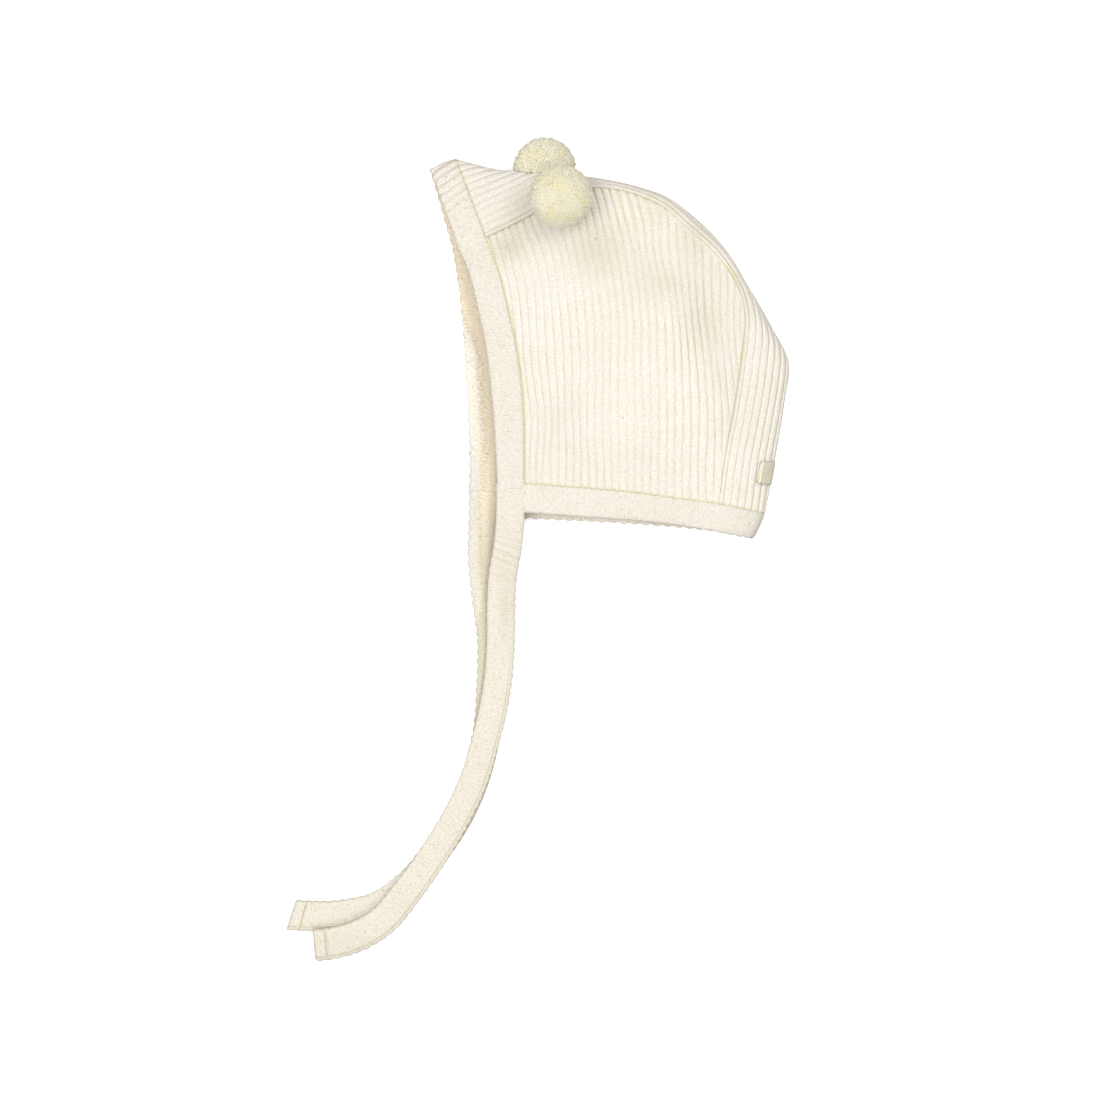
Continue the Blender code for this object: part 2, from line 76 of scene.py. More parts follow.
# Shares of the bonnet's depth ("across") and height ("up"); "top" and "fold" are shares of the shell's
# height, "under_in" is how far the lower seam lies inside the upper one and "full" rounds the lower half (1
# is straight)
CROWN_COLUMNS = ("fold_across", "fold_up", "seam_across", "seam_up", "top", "fold", "under_in", "full")
CROWN_ROWS = (
    (0.073, 1.000, 0.157, 0.791, 0.55, 0.50, 0.000, 2.0),
    (0.196, 0.970, 0.246, 0.830, 0.70, 0.62, 0.014, 1.5),
    (0.320, 0.961, 0.351, 0.882, 0.88, 0.80, 0.047, 1.0),
    (0.445, 0.948, 0.445, 0.916, 0.96, 0.62, 0.018, 1.5),
    (0.597, 0.916, 0.583, 0.895, 1.00, 0.50, 0.000, 2.0),
    (0.649, 0.899, 0.637, 0.872, 1.00, 0.50, 0.000, 2.0),
    (0.732, 0.843, 0.710, 0.814, 1.00, 0.50, 0.000, 2.0),
    (0.823, 0.754, 0.796, 0.738, 0.95, 0.50, 0.000, 2.0),
    (0.881, 0.665, 0.851, 0.660, 0.84, 0.50, 0.000, 2.0),
    (0.948, 0.560, 0.873, 0.571, 0.67, 0.50, 0.000, 2.0),
    (0.997, 0.461, 0.862, 0.461, 0.54, 0.50, 0.000, 2.0),
    (0.986, 0.366, 0.848, 0.366, 0.49, 0.50, 0.000, 2.0),
    (0.959, 0.209, 0.818, 0.215, 0.46, 0.50, 0.000, 2.0),
    (0.931, 0.068, 0.801, 0.094, 0.44, 0.50, 0.000, 2.0),
)


def smooth(keys, rows, at):
    """Columns of a table at new keys: cubic pieces through the rows, whose slopes are the mean of the slopes
    on either side of each row."""
    keys = np.asarray(keys, float)
    rows = np.asarray(rows, float)
    slopes = np.gradient(rows, keys, axis=0)
    at = np.clip(np.atleast_1d(at), keys[0], keys[-1])
    before = np.clip(np.searchsorted(keys, at) - 1, 0, len(keys) - 2)
    span = (keys[before + 1] - keys[before])[:, None]
    f = (at - keys[before])[:, None] / span
    start = (2 * f**3 - 3 * f**2 + 1) * rows[before] + (f**3 - 2 * f**2 + f) * span * slopes[before]
    end = (3 * f**2 - 2 * f**3) * rows[before + 1] + (f**3 - f**2) * span * slopes[before + 1]
    return start + end


def reach_along(points):
    """Length of a line from its start to each of its points."""
    steps = np.linalg.norm(np.diff(points, axis=0), axis=1)
    return np.concatenate([[0.0], np.cumsum(steps)])


def along(rows, shares):
    """Columns of a table at shares of the length of the line through its first two columns."""
    reach = reach_along(np.asarray(rows, float)[:, :2])
    return smooth(reach / reach[-1], rows, shares)


def read_off(line, keys, at):
    """Points of a line at new keys, on straight runs between its own points."""
    return np.stack([np.interp(at, keys, line[:, i]) for i in range(3)], axis=-1)


def respaced(line, shares):
    """Points at shares of the length of a line."""
    reach = reach_along(line)
    return read_off(line, reach, shares * reach[-1])


def place(across, up):
    """Shares of depth and height as X and Y in metres."""
    x = (np.asarray(across) - ORIGIN_ACROSS) * BONNET_DEPTH
    y = (np.asarray(up) - ORIGIN_UP) * BONNET_HEIGHT
    return np.stack([x, y], axis=-1)


def unit(vectors):
    """Vectors divided by their own lengths."""
    return vectors / np.maximum(np.linalg.norm(vectors, axis=-1, keepdims=True), 1e-12)


def bell(distance, reach):
    """1 in the middle and falling off to 0: e to the minus square of distance over reach."""
    return np.exp(-((distance / reach) ** 2))


def ramped(value, low, high):
    """0 below low, 1 above high and an eased slope between them."""
    part = np.clip((value - low) / (high - low), 0, 1)
    return part * part * (3 - 2 * part)


def folded_section(seam, fold, under, top, fold_height, full):
    """The line across a folded part: a quarter ellipse from the upper seam to the fold and another from the
    fold to the lower seam, each with an upright where taller than wide; full is 1 if straight, 2 if round."""
    turn = np.linspace(np.pi / 2, 0, SECTION_STEPS)[:, None]
    middle = BAND_PROUD + (top - BAND_PROUD) * fold_height
    upper_round = min(top - middle, np.linalg.norm(fold - seam))
    upper = np.column_stack([seam + (fold - seam) * np.cos(turn), top - upper_round * (1 - np.sin(turn))])
    lower_round = min(middle - BAND_PROUD, np.linalg.norm(fold - under))
    lower_round += (middle - BAND_PROUD - lower_round) * (2 - full)
    out = np.abs(np.cos(turn)) ** (2 / full)
    rise = np.abs(np.sin(turn)) ** (2 / full)
    lower = np.column_stack([under + (fold - under) * out, BAND_PROUD + lower_round * (1 - rise)])
    return np.concatenate([upper, [[*fold, middle]], lower[::-1]])


def crown_section(share):
    """The line across the crown at a share of its length from brow to nape, read from the table."""
    row = dict(zip(CROWN_COLUMNS, along(CROWN_ROWS, share)[0]))
    fold = place(row["fold_across"], row["fold_up"])
    seam = place(row["seam_across"], row["seam_up"])
    under = seam + unit(seam - fold) * row["under_in"] * BONNET_DEPTH
    return folded_section(seam, fold, under, row["top"] * SHELL_HEIGHT, row["fold"], row["full"])


def crown_surface(shares, widths):
    """Smooth outer face of the crown: shares from brow to nape, widths from the upper to the lower seam."""
    return np.stack([respaced(crown_section(share), widths) for share in shares])


def normals_on(points, outward):
    """Unit normals of a grid of points: the cross product of its two directions, on the outward side."""
    normals = unit(np.cross(np.gradient(points, axis=0), np.gradient(points, axis=1)))
    middle = normals[normals.shape[0] // 2, normals.shape[1] // 2]
    return normals if np.dot(middle, outward) > 0 else -normals


def edge_distance(points):
    """How far each point of a grid lies from its first and from its last column, measured along its row."""
    steps = np.linalg.norm(np.diff(points, axis=1), axis=2)
    reach = np.concatenate([np.zeros((len(points), 1)), np.cumsum(steps, axis=1)], axis=1)
    return reach, reach[:, -1:] - reach


def rib_profile(phase, pitch):
    """Height of the ribs from about -1 at the foot of a groove to 0 on top of a rib: a narrow bell-shaped
    groove at each whole number of phase, and half a sine over the rib between."""
    groove = bell(np.abs(phase - np.round(phase)) * pitch, GROOVE_HALF)
    return -GROOVE_CUT * groove - RIB_SWELL * (1 - np.sin(np.pi * (phase - np.floor(phase))))


def valley(distance, width):
    """How far an edge sinks into a soft seam, from 0 inside to 1 at the edge itself: part of a parabola."""
    return np.clip(1 - distance / width, 0, 1) ** 2


def knit_mesh(name, vertices, faces, uv, masks):
    """One object from arrays, shaded smooth, with one UV map and a float attribute for each mask."""
    mesh = bpy.data.meshes.new(name)
    mesh.from_pydata(vertices.reshape(-1, 3).tolist(), [], faces)
    corner = np.empty(len(mesh.loops), dtype=np.int32)
    mesh.loops.foreach_get("vertex_index", corner)
    layer = mesh.uv_layers.new(name="knit")
    layer.data.foreach_set("uv", uv.reshape(-1, 2)[corner].astype(np.float32).ravel())
    for mask, values in masks.items():
        attribute = mesh.attributes.new(mask, "FLOAT", "POINT")
        attribute.data.foreach_set("value", np.ascontiguousarray(values, dtype=np.float32).ravel())
    mesh.polygons.foreach_set("use_smooth", np.ones(len(mesh.polygons), dtype=bool))
    mesh.update()
    piece = bpy.data.objects.new(name, mesh)
    bpy.context.scene.collection.objects.link(piece)
    return piece


def cells(rows, columns, start=0, turned=False):
    """Four corners of every cell of a grid whose points are numbered row by row from start."""
    first = start + (np.arange(rows - 1)[:, None] * columns + np.arange(columns - 1)[None]).ravel()
    corners = [first, first + 1, first + columns + 1, first + columns]
    return np.stack(corners[::-1] if turned else corners, axis=-1)


def walled(name, outer, smooth_face, normals, every, uv, masks):
    """A closed wall: the outer grid, an inner grid that keeps every nth row and column of the smooth face and
    lies a wall's thickness inside it, and fans of triangles that join their four borders."""
    rows, columns = outer.shape[:2]
    picked = (smooth_face - normals * WALL)[::every, ::every]
    inner_rows, inner_columns = picked.shape[:2]
    start = rows * columns
    number = np.arange(start).reshape(rows, columns)
    inner_number = start + np.arange(inner_rows * inner_columns).reshape(inner_rows, inner_columns)
    spot = outer[rows // 2, columns // 2]
    across = np.cross(outer[rows // 2, columns // 2 + 1] - spot, outer[rows // 2 + 1, columns // 2] - spot)
    turned = np.dot(across, normals[rows // 2, columns // 2]) < 0
    faces = cells(rows, columns, 0, turned).tolist()
    faces += cells(inner_rows, inner_columns, start, not turned).tolist()
    borders = (
        (number[0], inner_number[0]),
        (number[:, -1], inner_number[:, -1]),
        (number[-1, ::-1], inner_number[-1, ::-1]),
        (number[::-1, 0], inner_number[::-1, 0]),
    )
    for line, inner_line in borders:
        owner = np.repeat(inner_line[:-1], every)
        fans = np.stack([line[1:], line[:-1], owner], axis=-1)
        bridges = np.stack([line[every::every], inner_line[:-1], inner_line[1:]], axis=-1)
        strip = np.concatenate([fans, bridges])
        faces += (strip[:, ::-1] if turned else strip).tolist()
    vertices = np.concatenate([outer.reshape(-1, 3), picked.reshape(-1, 3)])
    both_uv = np.concatenate([uv.reshape(-1, 2), uv[::every, ::every].reshape(-1, 2)])
    both = {key: np.concatenate([m.ravel(), m[::every, ::every].ravel()]) for key, m in masks.items()}
    return knit_mesh(name, vertices, faces, both_uv, both)


def feed(tree, socket, value):
    """Links a socket to the one that feeds it, or sets it to a number or a colour."""
    if isinstance(value, bpy.types.NodeSocket):
        tree.links.new(value, socket)
    else:
        socket.default_value = value


def node(tree, kind, inputs=(), **settings):
    """A shader node with its settings and then its inputs."""
    made = tree.nodes.new(kind)
    for key, value in settings.items():
        setattr(made, key, value)
    for key, value in dict(inputs).items():
        feed(tree, made.inputs[key], value)
    return made


def maths(tree, operation, *values):
    """One sum, product or other operation on numbers and sockets."""
    return node(tree, "ShaderNodeMath", enumerate(values), operation=operation).outputs[0]


def vectors(tree, operation, inputs):
    """One operation on vectors."""
    return node(tree, "ShaderNodeVectorMath", inputs, operation=operation).outputs[0]


def times(tree, first, *others):
    """Product of numbers and sockets."""
    for other in others:
        first = maths(tree, "MULTIPLY", first, other)
    return first


def apart(tree, value, middle):
    """How far a value lies from the middle, whichever side it is on."""
    return maths(tree, "ABSOLUTE", maths(tree, "SUBTRACT", value, middle))


def ramp(tree, value, low, high, to_low=0.0, to_high=1.0):
    """A value eased from one number to another as it goes from low to high."""
    inputs = {"Value": value, "From Min": low, "From Max": high, "To Min": to_low, "To Max": to_high}
    return node(tree, "ShaderNodeMapRange", inputs, interpolation_type="SMOOTHSTEP").outputs[0]


def mixed(tree, factor, first, second, blend="MIX"):
    """A colour between two others; 0, 6 and 7 are the factor and colour sockets of the Mix node."""
    sockets = {0: factor, 6: first, 7: second}
    return node(tree, "ShaderNodeMix", sockets, data_type="RGBA", blend_type=blend).outputs[2]


def noise(tree, vector, scale, detail):
    """Soft noise with scale waves to a unit of the vector."""
    return node(tree, "ShaderNodeTexNoise", {"Vector": vector, "Scale": scale, "Detail": detail}).outputs


def mask(tree, name):
    """A mask that the mesh carries at its points."""
    return node(tree, "ShaderNodeAttribute", attribute_name=name).outputs["Fac"]


def object_spot(tree):
    """Place in the piece, in metres."""
    return node(tree, "ShaderNodeTexCoord").outputs["Object"]


def knit_uv(tree):
    """Place on the cloth, as the piece's own UV map counts it."""
    return node(tree, "ShaderNodeUVMap", uv_map="knit").outputs[0]


def effect_group(name, inputs, outputs):
    """A shader group with its named sockets: the ends of its inputs, and what its outputs are fed to."""
    tree = bpy.data.node_groups.new(name, "ShaderNodeTree")
    for direction, sockets in (("INPUT", inputs), ("OUTPUT", outputs)):
        for socket_name, kind in sockets.items():
            tree.interface.new_socket(socket_name, in_out=direction, socket_type="NodeSocket" + kind)
    return tree, tree.nodes.new("NodeGroupInput").outputs, tree.nodes.new("NodeGroupOutput").inputs


# Waves of noise to a stitch: how the rows wander, and how the yarn's tone goes from one loop to the next
LOOP_WANDER = 0.9
LOOP_GRAIN = 1.25
# Below this height the holes between stitches are shaded
HOLE_BELOW = 0.45
# Noise lies mostly within these values: of dye and rows, and of the grain
NOISE_SPAN = (0.35, 0.65)
GRAIN_SPAN = (0.33, 0.67)
# Unevenness of the dye, as noise: waves to a metre, detail and share
DYE_NOISE = ((45.0, 2.0, 0.55), (620.0, 1.0, 0.45))


def stitch_group():
    """Knit stitches. The vector counts wales across and courses along; each stitch is two legs that lean
    together into a V of the given slope. Height is 1 on the yarn and 0 in the holes between the stitches,
    Shade is 1 in the holes, and the wale depth sets how far the gaps between the legs go down. Grain is
    uneven from 0 to 1 from one loop of yarn to the next."""
    tree, given, put = effect_group(
        "knit_stitches",
        {"Stitches": "Vector", "Unevenness": "Float", "Slope": "Float", "Wale Depth": "Float"},
        {"Height": "Float", "Shade": "Float", "Grain": "Float"},
    )
    wobble = vectors(tree, "SUBTRACT", {0: noise(tree, given[0], LOOP_WANDER, 1.0)["Color"], 1: (0.5,) * 3})
    push = vectors(tree, "SCALE", {0: wobble, "Scale": given[1]})
    parts = node(tree, "ShaderNodeSeparateXYZ", {0: vectors(tree, "ADD", {0: given[0], 1: push})}).outputs
    off = apart(tree, maths(tree, "FRACT", parts[0]), 0.5)
    course = maths(tree, "ADD", parts[1], times(tree, off, given[2]))
    within = maths(tree, "SUBTRACT", maths(tree, "FRACT", course), 0.5)
    leg = maths(tree, "SUBTRACT", 1.0, times(tree, within, within, 4.0))
    from_leg = maths(tree, "SUBTRACT", off, 0.25)
    body = maths(tree, "SUBTRACT", 1.0, times(tree, from_leg, from_leg, given[3]))
    height = times(tree, leg, maths(tree, "MAXIMUM", body, 0.0))
    feed(tree, put[0], height)
    feed(tree, put[1], ramp(tree, height, 0.0, HOLE_BELOW, 1.0, 0.0))
    feed(tree, put[2], ramp(tree, noise(tree, given[0], LOOP_GRAIN, 2.0)["Fac"], *GRAIN_SPAN))
    return tree


def fuzz_group():
    """Yarn fuzz and uneven dye: Height is fine fibre noise, Tone is 0 to 1 in soft patches and flecks."""
    tree, given, put = effect_group(
        "yarn_fuzz", {"Fibre Scale": "Float"}, {"Height": "Float", "Tone": "Float"}
    )
    spot = object_spot(tree)
    tones = [times(tree, noise(tree, spot, waves, detail)["Fac"], part) for waves, detail, part in DYE_NOISE]
    feed(tree, put[0], noise(tree, spot, given[0], 3.0)["Fac"])
    feed(tree, put[1], ramp(tree, maths(tree, "ADD", *tones), *NOISE_SPAN))
    return tree


STITCHES = stitch_group()
FUZZ = fuzz_group()


def knitted(tree, uv, wales, courses, **values):
    """The stitch group over a UV map that is turned into counts of wales and courses."""
    counts = vectors(tree, "MULTIPLY", {0: uv, 1: (wales, courses, 0.0)})
    inputs = {"Stitches": counts, **{key.replace("_", " ").title(): value for key, value in values.items()}}
    return node(tree, "ShaderNodeGroup", inputs, node_tree=STITCHES).outputs


def fuzzy(tree, scale):
    """The fuzz group with so many fibres to a metre."""
    return node(tree, "ShaderNodeGroup", {"Fibre Scale": scale}, node_tree=FUZZ).outputs


def grained(tree, colour, grain, depth):
    """The colour made lighter, or darker and yellower, by a share of itself as the grain goes from 0 to 1."""
    light = (1 + depth, 1 + depth, 1 + depth, 1.0)
    dark = (1 - 0.7 * depth, 1 - depth, 1 - 1.8 * depth, 1.0)
    return mixed(tree, 1.0, colour, mixed(tree, grain, light, dark), "MULTIPLY")


def cloth_shader(name, roughness):
    """A material with one Principled shader set up as dull cotton: no metal and weak gloss."""
    material = bpy.data.materials.new(name)
    material.use_nodes = True
    shader = material.node_tree.nodes["Principled BSDF"]
    shader.inputs["Roughness"].default_value = roughness
    shader.inputs["Specular IOR Level"].default_value = 0.25
    return material, material.node_tree, shader


def surfaced(tree, shader, colour, bumps=()):
    """Gives a shader its colour, and heights in 0 to 1 laid over each other as bumps of real depths."""
    feed(tree, shader.inputs["Base Color"], colour)
    for height, depth in bumps:
        bump = node(tree, "ShaderNodeBump", {"Height": height, "Distance": depth, "Strength": 1.0})
        if shader.inputs["Normal"].is_linked:
            feed(tree, bump.inputs["Normal"], shader.inputs["Normal"].links[0].from_socket)
        feed(tree, shader.inputs["Normal"], bump.outputs[0])


RIB_CREAM = (0.672, 0.640, 0.592, 1.0)
RIB_SHADOW = (0.590, 0.562, 0.500, 1.0)
# Olive of the painted shade in the grooves between ribs
GROOVE_SHADE_OLIVE = (0.600, 0.570, 0.425, 1.0)
# Yellow of the seam and band lines, and of the painted shade where a seam gapes
SEAM_YELLOW = (0.520, 0.465, 0.225, 1.0)
# Olive of the patches of painted shade on the knit
SHADE_PATCH_OLIVE = (0.530, 0.505, 0.400, 1.0)
WALES_A_RIB = 3.0
RIB_COURSE = 1.15
RIB_GRAIN = 0.055
RIB_FIBRES = 2600.0
# Strength of the shadow's tone in the fuzz and between stitches, and depths of the fuzz, stitches and grooves
RIB_TONES = (0.35, 0.45)
RIB_RELIEF = (0.16 * MM, 0.24 * MM, -0.08 * MM)
# Distance from a groove, in ribs, over which its painted shade fades, how faint and how clear that shade
# comes out, and in how many waves of noise to a rib or a millimetre
GROOVE_FADE = (0.04, 0.20)
GROOVE_CLEAR = (0.2, 0.85)
GROOVE_WAVE = 0.16


def rib_knit_material():
    """Cream rib knit. The UV map counts ribs across and millimetres along, so the groove line of painted
    shade, three wales of stitches to a rib and their courses all follow the cloth; seam is a mask for the
    yellowed seam line, with painted shade where it gapes, and a further mask lays soft patches of painted
    shade."""
    material, tree, shader = cloth_shader("rib_knit_cream", 0.92)
    uv = knit_uv(tree)
    across = node(tree, "ShaderNodeSeparateXYZ", {0: uv}).outputs[0]
    off = apart(tree, maths(tree, "FRACT", maths(tree, "ADD", across, 0.5)), 0.5)
    groove = ramp(tree, off, *GROOVE_FADE, 1.0, 0.0)
    knit = knitted(tree, uv, WALES_A_RIB, 1 / RIB_COURSE, unevenness=0.65, slope=0.9, wale_depth=12.0)
    fuzz = fuzzy(tree, RIB_FIBRES)
    colour = mixed(tree, times(tree, fuzz[1], RIB_TONES[0]), RIB_CREAM, RIB_SHADOW)
    colour = mixed(tree, times(tree, knit[1], RIB_TONES[1]), colour, RIB_SHADOW)
    uneven = ramp(tree, noise(tree, uv, GROOVE_WAVE, 1.0)["Fac"], *NOISE_SPAN, *GROOVE_CLEAR)
    clear = times(tree, mask(tree, "ribbing"), uneven)
    # Painted shade in the grooves between the ribs
    colour = mixed(tree, times(tree, groove, clear), colour, GROOVE_SHADE_OLIVE)
    colour = mixed(tree, mask(tree, "seam"), colour, SEAM_YELLOW)
    # Soft patches of painted shade
    colour = mixed(tree, mask(tree, "painted_shade"), colour, SHADE_PATCH_OLIVE)
    colour = grained(tree, colour, knit[2], RIB_GRAIN)
    surfaced(tree, shader, colour, zip((fuzz[0], knit[0], groove), RIB_RELIEF))
    return material


RIB_KNIT = rib_knit_material()

# Rows from brow to nape, columns from seam to seam, and the step of the inner face
CROWN_STATIONS = 361
CROWN_ACROSS = 241
CROWN_EVERY = 12
# Shares of the crown's length between which the cloth grows relaxed, and how far from the seam it is so
RELAXED_FROM = (0.60, 0.70)
RELAXED_REACH = 7 * MM
# How much less such a stretch is ribbed, and how much less it goes down into the seam
RELAXED_RIBS = 0.65
RELAXED_TUCK = 0.55
# The yellow line where a panel goes under a binding: its strength, and how far it reaches
BAND_LINE = 0.60
BAND_LINE_REACH = 0.9 * MM
# The yellow of the seam everywhere, and the painted shade where it gapes open: share of the crown's length,
# spread and strength
SEAM_EVEN = 0.15
SEAM_GAP_SHADES = (
    (0.57, 0.035, 1.0),
    (0.36, 0.04, 0.6),
    (0.73, 0.03, 0.30),
    (0.80, 0.12, 0.10),
    (0.10, 0.10, 0.30),
)
# How far the yellow reaches from the seam, and as much again at its widest gap and down the back
SEAM_REACH = 0.6 * MM
# How clear the crown's ribs are at shares from brow to nape, where they are stretched or lie relaxed
CROWN_RIBBING = ((0.0, 0.8), (0.25, 0.6), (0.5, 0.8), (0.7, 1.0), (1.0, 1.0))

# Patches of cloth: middle and half size as shares of the bonnet's depth and height, and strength
PATCH_COLUMNS = ("across", "up", "wide", "tall", "strength")
# Patches of painted shade, where the cloth is painted a little darker and yellower
SHADE_PATCH_ROWS = (
    (0.215, 0.765, 0.055, 0.045, 0.85),
    (0.240, 0.870, 0.035, 0.060, 0.35),
    (0.460, 0.755, 0.085, 0.075, 0.75),
    (0.560, 0.925, 0.060, 0.030, 0.45),
    (0.630, 0.870, 0.060, 0.050, 0.55),
    (0.735, 0.800, 0.050, 0.060, 0.60),
    (0.640, 0.680, 0.080, 0.060, 0.45),
    (0.755, 0.575, 0.050, 0.070, 0.40),
    (0.870, 0.340, 0.060, 0.080, 0.25),
    (0.210, -0.170, 0.010, 0.080, 0.70),
    (0.215, -0.055, 0.030, 0.012, 0.30),
    (0.205, -0.095, 0.030, 0.010, 0.30),
    (0.790, 0.480, 0.030, 0.080, 0.20),
)


def patches(points, rows):
    """Sum of a table's patches at a grid of points: each a bell across times a bell up times its strength."""
    total = np.zeros(points.shape[:2])
    for row in rows:
        patch = dict(zip(PATCH_COLUMNS, row))
        middle = place(patch["across"], patch["up"])
        across = (points[..., 0] - middle[0]) / (patch["wide"] * BONNET_DEPTH)
        up = (points[..., 1] - middle[1]) / (patch["tall"] * BONNET_HEIGHT)
        total += patch["strength"] * np.exp(-(across**2) - up**2)
    return total


def painted_shade(points):
    """How much painted shade the cloth carries at a grid of points, from 0 to 1."""
    return np.clip(patches(points, SHADE_PATCH_ROWS), 0, 1)


def seam_shade(share):
    """Strength of the yellow seam line along the crown: a small even part and painted shade where it gapes.
    """
    total = SEAM_EVEN + np.zeros_like(share)
    for middle, spread, strength in SEAM_GAP_SHADES:
        total += strength * bell(share - middle, spread)
    return np.clip(total, 0, 1)


def seam_tuck(share):
    """How deep the cloth goes down into the seam: less where the seam lies relaxed down the back."""
    return SEAM_TUCK * (1 - RELAXED_TUCK * ramped(share, *RELAXED_FROM))


def seam_spread(share):
    """How far the yellow reaches from the seam: a thin line, wider at its widest gap and down the back."""
    gap, spread, _ = SEAM_GAP_SHADES[0]
    return SEAM_REACH * (1 + bell(share - gap, spread) + ramped(share, *RELAXED_FROM))


def crown_panel():
    """The crown's smooth face raised and lowered along its normals: ribs times their depth, plus a parabola
    for the welt beside each seam, less the dip into the seam."""
    shares = np.linspace(0, 1, CROWN_STATIONS)
    widths = np.linspace(0, 1, CROWN_ACROSS)
    base = crown_surface(shares, widths)
    normals = normals_on(base, (1, 0, 0))
    from_upper, from_lower = edge_distance(base)
    phase = (from_upper - FIRST_RIB) / RIB_PITCH
    near_edge = np.minimum(from_upper, from_lower)
    set_in = np.clip((near_edge / FIRST_RIB - EDGE_PLAIN) / (1 - EDGE_PLAIN), 0, 1)
    ribs = rib_profile(phase, RIB_PITCH) * set_in
    welt = np.clip(1 - ((near_edge / WELT_WIDTH) * 2 - 1) ** 2, 0, None) * (near_edge < WELT_WIDTH)
    relaxed = bell(from_upper, RELAXED_REACH) * ramped(shares, *RELAXED_FROM)[:, None]
    ribbing = np.interp(shares, *zip(*CROWN_RIBBING))[:, None] * (1 - RELAXED_RIBS * relaxed)
    tuck = valley(near_edge, SEAM_WIDTH) * seam_tuck(shares)[:, None]
    height = ribs * RIB_DEPTH * ribbing + welt * WELT_HEIGHT - tuck
    outer = base + normals * height[..., None]
    outer[..., 2] = np.maximum(outer[..., 2], 0)
    run = reach_along(crown_surface(shares, np.array([0.5]))[:, 0])
    uv = np.stack([phase, np.broadcast_to((run / MM)[:, None], phase.shape)], axis=-1)
    seam = bell(near_edge, seam_spread(shares)[:, None]) * seam_shade(shares)[:, None]
    from_band = np.minimum(run, run[-1] - run)[:, None]
    seam = np.maximum(seam, BAND_LINE * bell(from_band, BAND_LINE_REACH))
    masks = {"seam": seam, "ribbing": ribbing, "painted_shade": painted_shade(base)}
    piece = walled("crown_rib_knit", outer, base, normals, CROWN_EVERY, uv, masks)
    piece.data.materials.append(RIB_KNIT)
    return piece, base


crown, crown_base = crown_panel()
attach(crown, "root")
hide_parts("crown_panel")

# Side panels: the left one on top and the right one under it, cut from the same rib knit with the ribs
# upright. Both are sewn to the crown along their curved edge and bound at the face and neck. The under one is
# flat on the table, and the upper one is domed over the hollow, with a crease and a few soft dents.

# Share of the crown seam, from the brow, where the side panel turns its upper back corner
PANEL_CORNER = 0.560
# The panel's edge, the binding's free edge and the height of both as a share of the shell's
EDGE_COLUMNS = ("panel_across", "panel_up", "free_across", "free_up", "height")
UPPER_FACE_ROWS = (
    (0.260, 0.134, 0.189, 0.134, 0.38),
    (0.260, 0.262, 0.182, 0.262, 0.44),
    (0.257, 0.369, 0.174, 0.366, 0.49),
    (0.243, 0.484, 0.159, 0.492, 0.53),
    (0.221, 0.586, 0.138, 0.592, 0.55),
    (0.193, 0.699, 0.110, 0.699, 0.56),
    (0.157, 0.791, 0.083, 0.759, 0.55),
)
LOWER_FACE_ROWS = (
    (0.188, 0.129, 0.110, 0.129, 0.0),
    (0.188, 0.262, 0.110, 0.262, 0.0),
    (0.182, 0.369, 0.105, 0.369, 0.0),
    (0.177, 0.471, 0.099, 0.466, 0.0),
    (0.166, 0.581, 0.090, 0.576, 0.0),
    (0.157, 0.691, 0.077, 0.683, 0.0),
    (0.157, 0.791, 0.064, 0.762, 0.0),
)
UPPER_NECK_ROWS = (
    (0.265, 0.147, 0.265, 0.071, 0.38),
    (0.417, 0.136, 0.417, 0.060, 0.42),
    (0.569, 0.123, 0.569, 0.050, 0.45),
    (0.693, 0.107, 0.693, 0.037, 0.45),
    (0.801, 0.094, 0.793, 0.021, 0.44),
)
LOWER_NECK_ROWS = (
    (0.193, 0.134, 0.193, 0.058, 0.0),
    (0.362, 0.126, 0.362, 0.050, 0.0),
    (0.528, 0.115, 0.528, 0.042, 0.0),
    (0.693, 0.102, 0.693, 0.031, 0.0),
    (0.801, 0.094, 0.793, 0.021, 0.0),
)
# Dents: middle as shares, length, width and depth in millimetres and turn in radians
DENT_COLUMNS = ("across", "up", "length", "width", "depth", "turn")
DENT_ROWS = (
    (0.77, 0.56, 30, 8, 2.0, 1.45),
    (0.41, 0.34, 30, 6, 1.4, 1.15),
    (0.35, 0.20, 26, 7, 1.0, 1.57),
    (0.26, 0.76, 20, 10, 1.4, 0.30),
)
# How far the middle of the upper panel rises
DOME = 4.0 * MM
# Where chosen grooves run: up, then across for the groove of each number at that height
GROOVE_NUMBERS = (-12, -9, -6, -3, 0, 4, 8, 12, 15)
GROOVE_ROWS = (
    (0.060, 0.257, 0.315, 0.377, 0.442, 0.505, 0.591, 0.680, 0.768, 0.834),
    (0.170, 0.257, 0.315, 0.378, 0.442, 0.505, 0.591, 0.680, 0.768, 0.834),
    (0.314, 0.260, 0.320, 0.376, 0.434, 0.500, 0.594, 0.682, 0.773, 0.834),
    (0.471, 0.240, 0.301, 0.370, 0.439, 0.500, 0.588, 0.680, 0.762, 0.818),
    (0.550, 0.235, 0.296, 0.365, 0.434, 0.503, 0.588, 0.677, 0.751, 0.807),
    (0.668, 0.218, 0.287, 0.351, 0.420, 0.489, 0.577, 0.660, 0.738, 0.801),
    (0.772, 0.191, 0.257, 0.331, 0.398, 0.467, 0.558, 0.638, 0.729, 0.796),
    (0.825, 0.174, 0.240, 0.309, 0.387, 0.456, 0.544, 0.638, 0.724, 0.785),
    (0.940, 0.140, 0.208, 0.276, 0.350, 0.420, 0.512, 0.605, 0.697, 0.762),
)
PANEL_PITCH = 3.75 * MM
